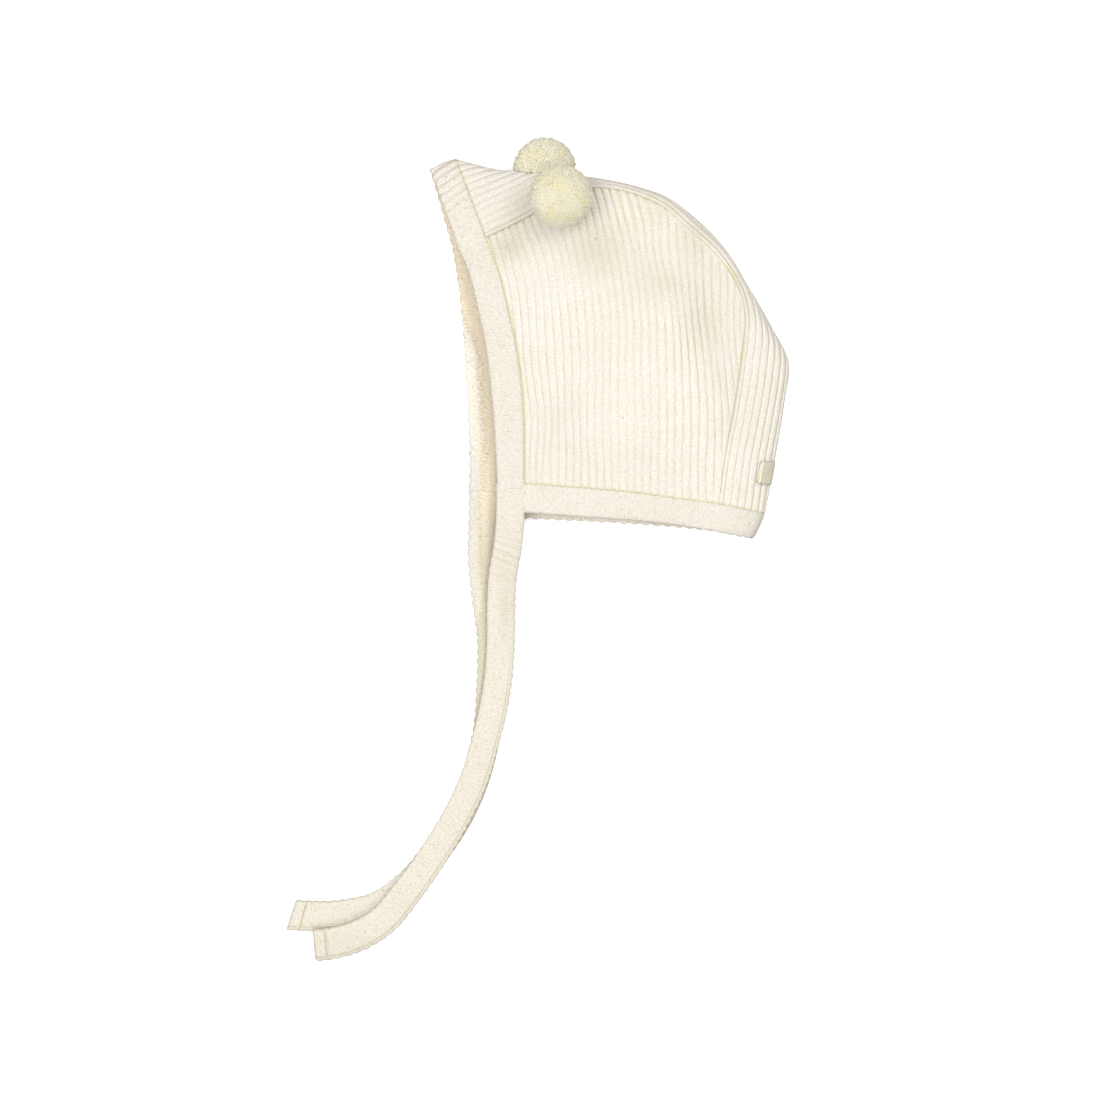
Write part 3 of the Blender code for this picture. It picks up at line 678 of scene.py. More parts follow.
# Where the ribs are stretched flat, or pressed together if below 0, as patches
FLAT_ROWS = (
    (0.33, 0.69, 0.11, 0.07, 0.75),
    (0.30, 0.55, 0.05, 0.08, 0.35),
    (0.55, 0.36, 0.10, 0.12, 0.30),
    (0.52, 0.84, 0.17, 0.08, -0.45),
    (0.74, 0.60, 0.05, 0.12, -0.70),
)
# Ribs sway a little near the seam: in ribs, then millimetres up the cloth for each radian, step from rib to
# rib in radians and distance from the seam
SWAY = 0.05
SWAY_LENGTH = 7.1 * MM
SWAY_STEP = 2.3
SWAY_REACH = 30 * MM
# Behind this stretch of X the cloth below the top seam is plumped smooth, most at this distance from the seam
PLUMP_FROM = (5 * MM, 16 * MM)
PLUMP_AT = 4.0 * MM
PLUMP_REACH = 2.6 * MM
PLUMP = 0.8
# In front of it the ribs are pressed deeper by the seam, and they run out before the seam at the back
PRESSED = 0.7
PRESSED_REACH = 4 * MM
RUN_OUT = 1.6 * MM
# Directions from the panel's lower front corner to the nape, the back corner and the brow, in radians
NAPE_TO_BROW = (0.0, 0.9, 1.7)
# Rows and columns of the outer face, and the step of the inner one
LEFT_GRID = (217, 361, 12)
RIGHT_GRID = (73, 225, 8)


def seam_line(lower):
    """The crown seam of one side, from brow to nape."""
    sections = [crown_section(share) for share in np.linspace(0, 1, PATH_STEPS)]
    return np.stack([section[-1 if lower else 0] for section in sections])


def edge_line(rows, edge, shares):
    """The "panel" or "free" edge of a face or neck table as points, no lower than a band on the table."""
    values = dict(zip(EDGE_COLUMNS, along(rows, shares).T))
    plan = place(values[edge + "_across"], values[edge + "_up"])
    return np.column_stack([plan, np.maximum(values["height"] * SHELL_HEIGHT, BAND_PROUD)])


def dents(x, y):
    """How deep the dents press at plan points: long soft hollows, each a bell curve across and along."""
    depth = np.zeros_like(x)
    for row in DENT_ROWS:
        dent = dict(zip(DENT_COLUMNS, row))
        middle = place(dent["across"], dent["up"])
        run = (x - middle[0]) * np.cos(dent["turn"]) + (y - middle[1]) * np.sin(dent["turn"])
        side = (y - middle[1]) * np.cos(dent["turn"]) - (x - middle[0]) * np.sin(dent["turn"])
        depth += dent["depth"] * MM * bell(run, dent["length"] * MM) * bell(side, dent["width"] * MM)
    return depth


def side_surface(lower, heights, widths):
    """Smooth outer face of a side panel: its four edges blended across the middle, then domed and dented on
    top or flattened on the table below. Heights run from neck to crown, widths from face to back."""
    seam = seam_line(lower)
    corner = round(PANEL_CORNER * (PATH_STEPS - 1))
    front_part = seam[: corner + 1]
    back_part = seam[corner:][::-1]
    face = edge_line(LOWER_FACE_ROWS if lower else UPPER_FACE_ROWS, "panel", heights)
    neck = edge_line(LOWER_NECK_ROWS if lower else UPPER_NECK_ROWS, "panel", widths)
    wanted_x = front_part[0, 0] + widths * (front_part[-1, 0] - front_part[0, 0])
    crown_edge = read_off(front_part, front_part[:, 0], wanted_x)
    wanted_y = back_part[0, 1] + heights * (back_part[-1, 1] - back_part[0, 1])
    back = read_off(back_part, back_part[:, 1], wanted_y)
    u = widths[None, :, None]
    v = heights[:, None, None]
    corners = (1 - u) * (1 - v) * face[0] + u * (1 - v) * back[0] + (1 - u) * v * face[-1] + u * v * back[-1]
    points = (1 - v) * neck[None] + v * crown_edge[None]
    points = points + (1 - u) * face[:, None] + u * back[:, None] - corners
    inside = (4 * u * (1 - u) * 4 * v * (1 - v))[..., 0]
    if lower:
        points[..., 2] *= 1 - np.clip(3 * inside, 0, 1)
    else:
        points[..., 2] += DOME * inside
        points[..., 2] -= dents(points[..., 0], points[..., 1]) * np.clip(4 * inside, 0, 1)
    return points


def groove_field(x, y):
    """Rib number at plan points: the table's grooves at the point's height, with even ribs between them."""
    across = (x / BONNET_DEPTH + ORIGIN_ACROSS).ravel()
    up = (y / BONNET_HEIGHT + ORIGIN_UP).ravel()
    rows = np.asarray(GROOVE_ROWS)
    lines = smooth(rows[:, 0], rows[:, 1:], up)
    phase = np.full(len(across), float(GROOVE_NUMBERS[0]))
    last = len(GROOVE_NUMBERS) - 2
    for i, (number, following) in enumerate(zip(GROOVE_NUMBERS, GROOVE_NUMBERS[1:])):
        part = (across - lines[:, i]) / (lines[:, i + 1] - lines[:, i])
        part = np.clip(part, None if i == 0 else 0, None if i == last else 1)
        phase += (following - number) * part
    return phase.reshape(x.shape)


def side_panel(name, lower, rows, columns, every):
    """A side panel's smooth face lowered along its normals: ribs times their depth and the seam's dip."""
    base = side_surface(lower, np.linspace(0, 1, rows), np.linspace(0, 1, columns))
    normals = normals_on(base, (0, 0, -1) if lower else (0, 0, 1))
    from_face, from_back = edge_distance(base)
    from_neck, from_top = (distance.T for distance in edge_distance(base.transpose(1, 0, 2)))
    near_seam = np.minimum(from_back, from_top)
    x, y = base[..., 0], base[..., 1]
    phase = groove_field(x, y)
    phase += SWAY * np.sin(y / SWAY_LENGTH + SWAY_STEP * np.floor(phase)) * np.exp(-near_seam / SWAY_REACH)
    keep = np.clip(base[..., 2] / BAND_PROUD, 0, 1)
    rear = ramped(x, *PLUMP_FROM)
    plump = PLUMP * bell(from_top - PLUMP_AT, PLUMP_REACH) * rear
    pressed = PRESSED * np.exp(-near_seam / PRESSED_REACH) * (1 - rear)
    ribbing = np.clip(1 - patches(base, FLAT_ROWS), 0, None) * (1 + pressed) * (1 - plump)
    ribbing = ribbing * (1 - bell(from_back, RUN_OUT))
    direction = np.arctan2(y - base[0, 0, 1], x - base[0, 0, 0])
    share = np.interp(direction, NAPE_TO_BROW, (1.0, PANEL_CORNER, 0.0))
    tuck = valley(near_seam, SEAM_WIDTH) * seam_tuck(share)
    height = rib_profile(phase, PANEL_PITCH) * RIB_DEPTH * ribbing * keep - tuck
    outer = base + normals * height[..., None]
    outer[..., 2] = np.maximum(outer[..., 2], 0)
    uv = np.stack([phase, y / MM], axis=-1)
    seam = bell(near_seam, seam_spread(share)) * seam_shade(share)
    band_line = BAND_LINE * bell(np.minimum(from_face, from_neck), BAND_LINE_REACH)
    masks = {"seam": np.maximum(seam, band_line), "ribbing": ribbing, "painted_shade": painted_shade(base)}
    piece = walled(name, outer, base, normals, every, uv, masks)
    piece.data.materials.append(RIB_KNIT)
    return piece, base


left_side, left_base = side_panel("left_side_rib_knit", False, *LEFT_GRID)
right_side, right_base = side_panel("right_side_rib_knit", True, *RIGHT_GRID)
for piece, cad_name in ((left_side, "left_side_panel"), (right_side, "right_side_panel")):
    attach(piece, "root")
    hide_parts(cad_name)

# Bindings: a doubled knit tape sewn over the raw edge of the face opening and another over the neck edge. The
# free edge is a rounded fold that the stitching pulls into small scallops; the held edge lies on the panel
# along a seam.

# How far the ends of the neck binding go on under the face binding, and how much lower any such end lies
NECK_TUCK = 1.6 * MM
TUCK_DIP = 0.9 * MM
# Free corner at the brow and at the nape, as shares of depth and height
BROW_PEAK = (0.000, 0.975)
NAPE_PEAK = (0.898, 0.000)
# Step along a tape, points around it, and points over which its edges are smoothed
BAND_STEP = 0.5 * MM
BAND_AROUND = 44
BAND_SOFTEN = 9
CROSS_RIPPLE = 0.10 * MM
# Middle of the ripple's wave, which is the absolute value of a sine
RIPPLE_MIDDLE = 0.6
# Power of cos and sin in a tape's section: 1 is an ellipse and 0 an oblong
TAPE_SQUARE = 0.62
# Shares of a tape's length: half the stretch over which it turns, over which the held scallops set in, and
# from where its cut end slants
TURN_EASE = 0.05
SET_IN = 0.1
SKEW_FROM = 0.93
# A tape's closed end: how far back it is rounded, the least that its thickness squared falls to, how much
# thicker its hem is, and the line sewn across it
END_ROUND = 1.4 * MM
END_LEAST = 0.02
HEM_RISE = 0.25 * MM
HEM_LINE_DIP = 0.45 * MM
HEM_LINE_HALF = 0.5 * MM
# How much narrower the very end is, and the painted shadow along a tie's free edge near its end: strength,
# reach as a share of half the width, and the stretch of the length where it sets in
END_SLIM = 0.03
EDGE_SHADOW = 0.9
EDGE_SHADOW_REACH = 0.07
EDGE_SHADOW_FROM = (0.82, 0.90)
# Soft pleats across the near tape: their pitch and slant, over the brow above a stretch of Y, and lower down
# as Y, reach and strength
FOLD_PITCH = 4.0 * MM
FOLD_SLANT = 1.5 * MM
FOLD_FROM = (82 * MM, 92 * MM)
FOLDS_LOW = ((67 * MM, 8 * MM, 0.7), (-74 * MM, 10 * MM, 0.8))
# Up this stretch of Y the painted shadow of the near layer covers this much more of the far face binding's
# width
SHADOW_WIDE_UP = (20 * MM, 46 * MM)
SHADOW_MORE = 0.5
# Shares of a tape's length where the painted shadow grows wider, over which the painted light and shadow end,
# where the painted light on the inner face fades, where the shadow takes the tie's tone and either side of
# where the stitch line sets in, and half the painted shadow's soft edge as a share of the width
SHADOW_WIDER_FROM = (0.19, 0.29)
PAINTED_EASE = 0.1
DIMS_FROM = (0.84, 1.0)
TIE_SHADOW_FROM = (-0.03, 0.14)
LINE_EASE = 0.06
SHADOW_SOFT = 0.09
BAND_CREAM = (0.561, 0.535, 0.497, 1.0)
TIE_CREAM = (0.545, 0.518, 0.462, 1.0)
# Tan of the painted shadow that the near tie casts on the far tie
TIE_PAINTED_SHADOW = (0.480, 0.448, 0.352, 1.0)
STITCH_OLIVE = (0.420, 0.390, 0.270, 1.0)
# Olive of the patches of painted shade on the tapes
TAPE_SHADE_OLIVE = (0.470, 0.450, 0.350, 1.0)
BAND_SHADOW = (0.530, 0.485, 0.400, 1.0)
# Cream of a binding's inner face, lighter than the band as painted light against the shade inside the bonnet
INNER_PAINTED_LIGHT = (0.760, 0.715, 0.630, 1.0)
# Tan of the painted shadow that the near layer casts on the far face binding, lighter than the band's cream
# as painted light against the real shade there
BAND_PAINTED_SHADOW = (0.740, 0.645, 0.490, 1.0)
STITCH_YELLOW = (0.560, 0.515, 0.320, 1.0)
PIT_TAN = (0.500, 0.440, 0.310, 1.0)
HOLE_BROWN = (0.470, 0.390, 0.230, 1.0)
# Width and height of a stitch in millimetres, fibres to a metre, and small pits: number to a metre and edge
TAPE_WALE = 1.9
TAPE_COURSE = 1.05
TAPE_GRAIN = 0.065
TAPE_FIBRES = 2200.0
PIT_SCALE = 400.0
PIT_EDGE = (0.12, 0.26)
# Depths of the fuzz, stitches, sewn lines and pits
TAPE_RELIEF = (0.20 * MM, 0.20 * MM, -0.2 * MM, -0.15 * MM)

# Every tape's own lengths in millimetres and shares, one column for each tape
TAPE_NAMES = ("face_binding_tape", "neck_binding_tape", "left_tie_tape", "right_tie_tape")
TAPE_LENGTHS = {
    "thickness": (3.6, 3.6, 3.5, 3.5),
    "proud": (0.4, 0.4, 1.75, 1.75),  # height of its top above the line midway between its edges
    "free_near": (0.15, 0.15, 0.1, 0.8),  # depth of the scallops at its free edge, before its turn
    "free_far": (0.7, 0.9, 0.4, 0.5),  # and after it
    "held_near": (0.0, 0.0, 0.55, 0.3),  # depth of the scallops at its held edge
    "pitch": (5.2, 5.2, 4.1, 4.7),  # of the scallops
    "overlap": (0.9, 0.9, 0.0, 0.0),  # how far it lies on the panel past the panel's edge
    "hem": (0.0, 0.0, 6.0, 6.0),
    "skew": (0.0, 0.0, 0.0, 2.2),  # slant of its cut end
    "folds": (0.4, 0.0, 0.4, 0.0),  # height of the pleats
}
TAPE_SHARES = {
    "turn": (0.42, 0.42, 0.6, 0.5),  # of its length, where it turns over or passes to the far side
    "sets_in": (0.0, 0.0, 0.12, 0.6),  # of its length, where the held edge's scallops set in
    "line_from": (0.0, 0.0, 0.35, 0.7),  # of its length, where the stitch line sets in
    "lined_face": (-1, -1, 0, 1),  # face with the painted light and shadow: 1 upper, -1 lower, 0 neither
    "shadow_at": (0.51, -0.2, 0.0, 0.56),  # of its width, where the painted shadow ends
    "shadow_widens": (0.0, 0.0, 0.0, 0.6),  # of its width, by which the painted shadow grows wider after the start
    "painted_to": (9.0, 9.0, 9.0, 0.70),  # of its length, where the painted light and shadow end; never past 1
    "dims": (0.95, 0.0, 0.0, 0.0),  # how far the painted light on the inner face fades at the far end
    "away": (0, 0, 1, 1),  # whether the painted shadow takes the tie's tone
}


def softened(line, window):
    """A line smoothed with a moving mean, its end points held."""
    kernel = np.ones(window) / window
    half = window // 2
    padded = np.concatenate([2 * line[:1] - line[half:0:-1], line, 2 * line[-1:] - line[-2 : -half - 2 : -1]])
    return np.stack([np.convolve(padded[:, i], kernel, "valid") for i in range(3)], axis=-1)


def squared(wave):
    """A wave between -1 and 1 with fuller shoulders: its size to a power, with its sign kept."""
    return np.sign(wave) * np.abs(wave) ** TAPE_SQUARE


def tube(rows, around, start=0, turned=False, capped=False, shift=0):
    """Faces of a tube whose rings of points are numbered one after another from start: each cell's four
    corners, in the other order if turned and begun shift corners later, and a cap on each end."""
    number = start + np.arange(rows * around).reshape(rows, around)
    following = np.roll(number, -1, axis=1)
    quads = np.stack([number[:-1], following[:-1], following[1:], number[1:]], axis=-1).reshape(-1, 4)
    faces = np.roll(quads[:, ::-1] if turned else quads, shift, axis=1).tolist()
    if capped:
        caps = (number[0], number[-1][::-1]) if turned else (number[0][::-1], number[-1])
        faces += [cap.tolist() for cap in caps]
    return faces


def tape_masks(row, ring, level, part, across, lift, hem_line, edge_shadow):
    """What colours a tape: across runs from 0 at its held edge to 1 at its free one, inner is painted light
    on the inner face, the painted-shadow mask the part of that face under the near layer's painted shadow,
    away that shadow's tone, a further mask soft patches of painted shade, and hem and sewn the stitch lines,
    hem also a painted shadow along a tie's free edge near its end. Each stretch starts and ends in an eased
    slope."""
    share = (across + 1) / 2
    start_wide = row["shadow_widens"] * ramped(part, *SHADOW_WIDER_FROM)
    ends_at = row["shadow_at"] + SHADOW_MORE * ramped(level, *SHADOW_WIDE_UP) + start_wide
    ends_after = 1 - ramped(part, row["painted_to"] - PAINTED_EASE, row["painted_to"])
    # The inner face carries painted light, and under the near layer a painted shadow
    inner = np.clip(row["lined_face"] * lift * 3, 0, 1) * ends_after
    masks = {
        "across": share,
        "inner": inner * (1 - row["dims"] * ramped(part, *DIMS_FROM)),
        "painted_shade": painted_shade(ring),
        "away": row["away"] * ramped(part, *TIE_SHADOW_FROM),
        "lined": inner * (1 - ramped(share - ends_at, -SHADOW_SOFT, SHADOW_SOFT)),
        "hem": np.maximum(hem_line, edge_shadow),
        "sewn": ramped(part, row["line_from"] - LINE_EASE, row["line_from"] + LINE_EASE),
    }
    return {key: np.broadcast_to(values, ring.shape[:2]) for key, values in masks.items()}


def tape(name, held, free, flip):
    """A doubled tape along the line midway between its two edges. Its section is a rounded oblong, cos and
    sin to a power, laid in the plane of the two edges and their normal. Scallops, the absolute value of a
    sine, draw the edges in between stitches and a ripple runs across at the same pitch; an end hem is a
    turned, thicker, closed end."""
    row = {key: values[TAPE_NAMES.index(name)] * MM for key, values in TAPE_LENGTHS.items()}
    row |= {key: values[TAPE_NAMES.index(name)] for key, values in TAPE_SHARES.items()}
    reach = reach_along((held + free) / 2)
    run = np.linspace(0, reach[-1], round(reach[-1] / BAND_STEP) + 1)
    held, free = (softened(read_off(line, reach, run), BAND_SOFTEN) for line in (held, free))
    width = unit(free - held)
    held = held - width * row["overlap"]
    middle = (held + free) / 2
    half = np.linalg.norm(free - held, axis=1)[:, None] / 2
    forward = unit(np.gradient(middle, axis=0))
    up = unit(np.cross(width, forward)) * (1 if flip else -1)
    angle = np.linspace(0, 2 * np.pi, BAND_AROUND, endpoint=False)[None]
    across = squared(np.cos(angle))
    lift = squared(np.sin(angle))
    run = run[:, None]
    part = run / run[-1]
    level = middle[:, 1:2]

    wave = np.abs(np.sin(np.pi * run / row["pitch"]))
    turned_over = ramped(part, row["turn"] - TURN_EASE, row["turn"] + TURN_EASE)
    free_pull = (row["free_near"] + (row["free_far"] - row["free_near"]) * turned_over) * (1 - wave)
    held_pull = row["held_near"] * ramped(part, row["sets_in"], row["sets_in"] + SET_IN) * (1 - wave)

    from_end = run[-1] - run
    closing = np.ones_like(run)
    hem = hem_line = np.zeros_like(run)
    edge_shadow = np.zeros((1, 1))
    if row["hem"] > 0:
        closing = np.sqrt(np.clip(1 - (1 - np.clip(from_end / END_ROUND, 0, 1)) ** 2, END_LEAST, 1))
        hem = np.where(from_end < row["hem"], 1.0, 0.0)
        hem_line = bell(from_end - row["hem"], HEM_LINE_HALF)
        # Painted shadow along the free edge near the tie's end
        edge_shadow = EDGE_SHADOW * bell(1 - across, EDGE_SHADOW_REACH) * ramped(part, *EDGE_SHADOW_FROM)
    ripple = CROSS_RIPPLE * (wave - RIPPLE_MIDDLE)
    thick = (row["thickness"] / 2 + ripple + HEM_RISE * hem - HEM_LINE_DIP * hem_line) * closing

    pleats = ramped(level, *FOLD_FROM)
    for folds_at, folds_reach, strength in FOLDS_LOW:
        pleats = pleats + strength * bell(level - folds_at, folds_reach)
    folded = pleats * np.sin(2 * np.pi * (run + FOLD_SLANT * across) / FOLD_PITCH)

    x = across * half - np.clip(across, 0, 1) ** 2 * free_pull + np.clip(-across, 0, 1) ** 2 * held_pull
    x = x * (1 - END_SLIM + END_SLIM * closing)
    back = row["skew"] * across * ramped(part, SKEW_FROM, 1.0)
    z = row["proud"] - row["thickness"] / 2 + row["folds"] * folded + lift * thick
    ring = middle[:, None] + width[:, None] * x[..., None] - forward[:, None] * back[..., None]
    ring = ring + up[:, None] * z[..., None]
    ring[..., 2] = np.maximum(ring[..., 2], 0)

    halfway = len(run) // 2
    spot = ring[halfway, 0]
    outwards = np.cross(ring[halfway, 1] - spot, ring[halfway + 1, 0] - spot)
    faces = tube(len(run), BAND_AROUND, turned=np.dot(outwards, width[halfway]) < 0, capped=True)
    girth = reach_along(ring[halfway])[None]
    uv = np.stack(np.broadcast_arrays(girth / MM, run / MM), axis=-1)
    masks = tape_masks(row, ring, level, part, across, lift, hem_line, edge_shadow)
    return knit_mesh(name, ring, faces, uv, masks)


def tape_knit_material(name, cream, inner_painted_light, stitching, stitched_at, line_half, texture):
    """Cream tape knit with fine courses across it. The across attribute runs from 0 at the held edge to 1 at
    the free one, and gives the seam line; the inside of a binding is painted paler as painted light against
    its shade, and under the near layer it carries a painted shadow, darker and tan, browner in specks along
    its edge. Painted shade also lies along the held rim and in soft patches."""
    material, tree, shader = cloth_shader(name, 0.95)
    counts = (1 / TAPE_WALE, 1 / TAPE_COURSE)
    knit = knitted(tree, knit_uv(tree), *counts, unevenness=0.45, slope=0.2, wale_depth=5.0)
    fuzz = fuzzy(tree, TAPE_FIBRES)
    across = mask(tree, "across")
    lined = mask(tree, "lined")
    sewn = mask(tree, "sewn")
    from_line = apart(tree, across, stitched_at)
    edge = times(tree, ramp(tree, from_line, 0.3 * line_half, line_half, 0.8, 0.0), sewn)
    # The hem mask also carries the painted shadow along a tie's free edge near its end
    line = maths(tree, "MAXIMUM", edge, mask(tree, "hem"))
    dots = node(tree, "ShaderNodeTexVoronoi", {"Vector": object_spot(tree), "Scale": PIT_SCALE}).outputs
    pits = ramp(tree, dots["Distance"], *PIT_EDGE, 1.0, 0.0)
    halfway = times(tree, lined, maths(tree, "SUBTRACT", 1.0, lined))
    # Painted shade along the held rim, outside the stitch line
    rim_shade = times(tree, ramp(tree, across, stitched_at - 0.03, stitched_at, 0.18, 0.0), sewn)

    # Painted light: the inner face of a binding made paler against its shade
    colour = mixed(tree, mask(tree, "inner"), cream, inner_painted_light)
    colour = mixed(tree, times(tree, fuzz[1], 0.45), colour, BAND_SHADOW)
    colour = mixed(tree, times(tree, knit[1], 0.30 * texture), colour, BAND_SHADOW)
    colour = mixed(tree, times(tree, pits, 0.45), colour, PIT_TAN)
    # Painted shadow of the near layer on the far one, in the band's or the tie's tone
    covered = times(tree, lined, 0.85)
    shadow_tone = mixed(tree, mask(tree, "away"), BAND_PAINTED_SHADOW, TIE_PAINTED_SHADOW)
    colour = mixed(tree, covered, colour, shadow_tone)
    colour = mixed(tree, times(tree, halfway, 2.4, knit[2]), colour, HOLE_BROWN)
    colour = mixed(tree, rim_shade, colour, BAND_SHADOW)
    # Soft patches of painted shade
    colour = mixed(tree, mask(tree, "painted_shade"), colour, TAPE_SHADE_OLIVE)
    colour = mixed(tree, times(tree, line, 0.75), colour, stitching)
    heights = (fuzz[0], knit[0], line, pits)
    depths = np.array(TAPE_RELIEF) * (1, texture, 1, 1)
    surfaced(tree, shader, grained(tree, colour, knit[2], TAPE_GRAIN), zip(heights, depths))
    return material


BINDING_KNIT = tape_knit_material(
    "binding_knit_cream", BAND_CREAM, INNER_PAINTED_LIGHT, STITCH_YELLOW,
    stitched_at=0.035, line_half=0.045, texture=1.0,
)


def binding(name, upper_rows, lower_rows, crown_share, peak, flip, tuck):
    """One band from the start of the upper table over the fold at the crown's end and back along the lower
    table, its free edge a fold of the same kind as the crown's own."""
    shares = np.linspace(0, 1, PATH_STEPS)
    row = dict(zip(CROWN_COLUMNS, CROWN_ROWS[0 if crown_share == 0 else -1]))
    upper_corner = place(*upper_rows[-1][2:4])
    lower_corner = place(*lower_rows[-1][2:4])
    turn_over = folded_section(
        upper_corner, place(*peak), lower_corner, row["top"] * SHELL_HEIGHT, row["fold"], row["full"]
    )
    edges = []
    for edge, over_fold in (("panel", crown_section(crown_share)), ("free", turn_over)):
        upper = edge_line(upper_rows, edge, shares)
        lower = edge_line(lower_rows, edge, shares)[::-1]
        line = np.concatenate([upper, respaced(over_fold, shares), lower])
        if tuck:
            line = np.concatenate([line[:1] + (-tuck, 0, -TUCK_DIP), line, line[-1:] + (-tuck, 0, TUCK_DIP)])
        edges.append(line)
    piece = tape(name, *edges, flip)
    piece.data.materials.append(BINDING_KNIT)
    return piece


face_band = binding(
    "face_binding_tape", UPPER_FACE_ROWS, LOWER_FACE_ROWS,
    crown_share=0.0, peak=BROW_PEAK, flip=False, tuck=0.0,
)
neck_band = binding(
    "neck_binding_tape", UPPER_NECK_ROWS, LOWER_NECK_ROWS,
    crown_share=1.0, peak=NAPE_PEAK, flip=True, tuck=NECK_TUCK,
)
for piece, cad_name in ((face_band, "face_binding"), (neck_band, "neck_binding")):
    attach(piece, "root")
    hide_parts(cad_name)

# Ties: each a long flat tape of the same knit, a continuation of the face binding past the neck corner. Both
# edges are scalloped, a line of stitching runs inside the face-side edge, and the far end is turned in and
# sewn across.
TIE_WIDTH = 13.6 * MM
TIE_THICKNESS = 3.5 * MM
TIE_TUCK = 1.6 * MM
# Middle line, how high each long edge lies above the table in tie thicknesses, and the width in tie widths
TIE_COLUMNS = ("across", "up", "face_lift", "neck_lift", "width")
LEFT_TIE_ROWS = (
    (0.226, 0.141, 3.27, 3.27, 1.00),
    (0.225, 0.065, 2.95, 2.95, 1.00),
    (0.218, -0.016, 2.20, 2.00, 1.00),
    (0.204, -0.094, 1.62, 1.00, 1.00),
    (0.200, -0.168, 1.42, 0.55, 1.00),
    (0.199, -0.262, 1.22, 0.90, 1.00),
    (0.193, -0.353, 1.14, 1.12, 1.00),
    (0.177, -0.450, 1.13, 1.13, 1.00),
    (0.153, -0.539, 1.13, 1.13, 1.00),
    (0.126, -0.626, 1.13, 1.13, 1.00),
    (0.080, -0.720, 1.13, 1.13, 1.01),
    (0.014, -0.825, 1.13, 1.13, 1.03),
    (-0.055, -0.918, 1.14, 1.12, 1.06),
    (-0.131, -1.002, 1.24, 0.80, 1.09),
    (-0.217, -1.047, 1.36, 0.10, 1.13),
    (-0.282, -1.062, 1.24, 0.02, 1.15),
    (-0.320, -1.065, 1.20, 0.00, 1.15),
)
RIGHT_TIE_ROWS = (
    (0.149, 0.125, 0.0, 0.0, 1.00),
    (0.148, 0.065, 0.0, 0.0, 1.00),
    (0.146, -0.055, 0.0, 0.0, 1.00),
    (0.157, -0.157, 0.0, 0.0, 1.00),
    (0.171, -0.264, 0.0, 0.0, 1.00),
    (0.169, -0.380, 0.0, 0.0, 1.00),
    (0.155, -0.526, 0.0, 0.0, 1.00),
    (0.131, -0.618, 0.0, 0.0, 1.00),
    (0.086, -0.720, 0.0, 0.0, 1.00),
    (0.018, -0.819, 0.0, 0.0, 1.00),
    (-0.055, -0.901, 0.0, 0.0, 1.00),
    (-0.144, -0.962, 0.0, 0.0, 1.03),
    (-0.250, -0.987, 0.0, 0.0, 1.08),
    (-0.384, -0.987, 0.0, 0.0, 1.08),
)
TIE_KNIT = tape_knit_material(
    "tie_knit_cream", TIE_CREAM, TIE_CREAM, STITCH_OLIVE,
    stitched_at=0.13, line_half=0.030, texture=0.8,
)


def tie(name, rows):
    """A flat tape along its middle line, each long edge at its own lift above the table."""
    values = dict(zip(TIE_COLUMNS, along(rows, np.linspace(0, 1, 2 * PATH_STEPS)).T))
    plan = place(values["across"], values["up"])
    forward = unit(np.gradient(plan, axis=0))
    side = np.column_stack([-forward[:, 1], forward[:, 0]]) * TIE_WIDTH / 2 * values["width"][:, None]
    edges = []
    for sign, lift in ((1, values["neck_lift"]), (-1, values["face_lift"])):
        line = np.column_stack([plan + sign * side, (lift + 0.5) * TIE_THICKNESS])
        edges.append(np.concatenate([line[:1] + (0, TIE_TUCK, -TUCK_DIP), line]))
    piece = tape(name, *edges, True)
    piece.data.materials.append(TIE_KNIT)
    return piece


left_tie = tie("left_tie_tape", LEFT_TIE_ROWS)
right_tie = tie("right_tie_tape", RIGHT_TIE_ROWS)
for piece, cad_name in ((left_tie, "left_tie"), (right_tie, "right_tie")):
    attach(piece, "root")
    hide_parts(cad_name)

# Pompoms: two balls of short clipped yarn, sewn on over the crown seams, one on each side. Each is a dense
# core with thousands of yarn ends that stand out from it in soft tufts, shorter where they press on the cloth
# or the table.
POMPOM_DIAMETER = 30 * MM
# Middles as shares of depth and height, and how deep the upper one sits in the cloth
LEFT_POMPOM = (0.365, 0.893)
RIGHT_POMPOM = (0.320, 0.974)
LEFT_POMPOM_SINK = 2.5 * MM
# Shares of the radius: how far the ends reach, how uneven they are, and the core
YARN_SHARE = 0.935
YARN_SPREAD = 0.018
CORE_SHARE = 0.90
CORE_ROWS = 25
CORE_AROUND = 48
YARN_ENDS = 19000
YARN_JITTER = 0.012
YARN_WIDTH = 0.34 * MM
YARN_LEAN = 0.30 * MM
SHORTEST_END = 0.8 * MM
TUFTS = 90
TUFT_PULL = 0.8 * MM
# Cosine of the angle from a tuft's middle at which a yarn end no longer belongs to it
TUFT_EDGE = 0.94
# Shares of the radius by which a tuft's middle stands out past its edge, and the ends start inside the core
TUFT_RAISE = 0.015
FOOT_SINK = 0.02
# Share of an end's length and its thickness there, in yarn widths
YARN_TAPER = ((0.0, 1.1), (1.0, 0.95))
# Yellower yarn: its share in a yellow tuft, the chance that a tuft facing straight up is one, how near the
# tuft's middle it lies and its strength
YELLOW_YARN = 0.35
YELLOW_TUFTS = 0.45
YELLOW_HEART = 0.35
YELLOW_STRENGTH = 0.75
# How far short of the cloth each pompom's ends stop, how far short of the table, and the core of both
LEFT_CLEAR = 0.1 * MM
RIGHT_CLEAR = 0.4 * MM
TABLE_CLEAR = 0.2 * MM
CORE_CLEAR = 0.3 * MM
# A direction that falls less than this much in its length is taken to miss the table
LEAST_FALL = 0.05
# Step of the cloth's own rows and columns in the search for where it lies, and the seeds of the yarns
CLOTH_EVERY = 6
LEFT_SEED = 3
RIGHT_SEED = 8
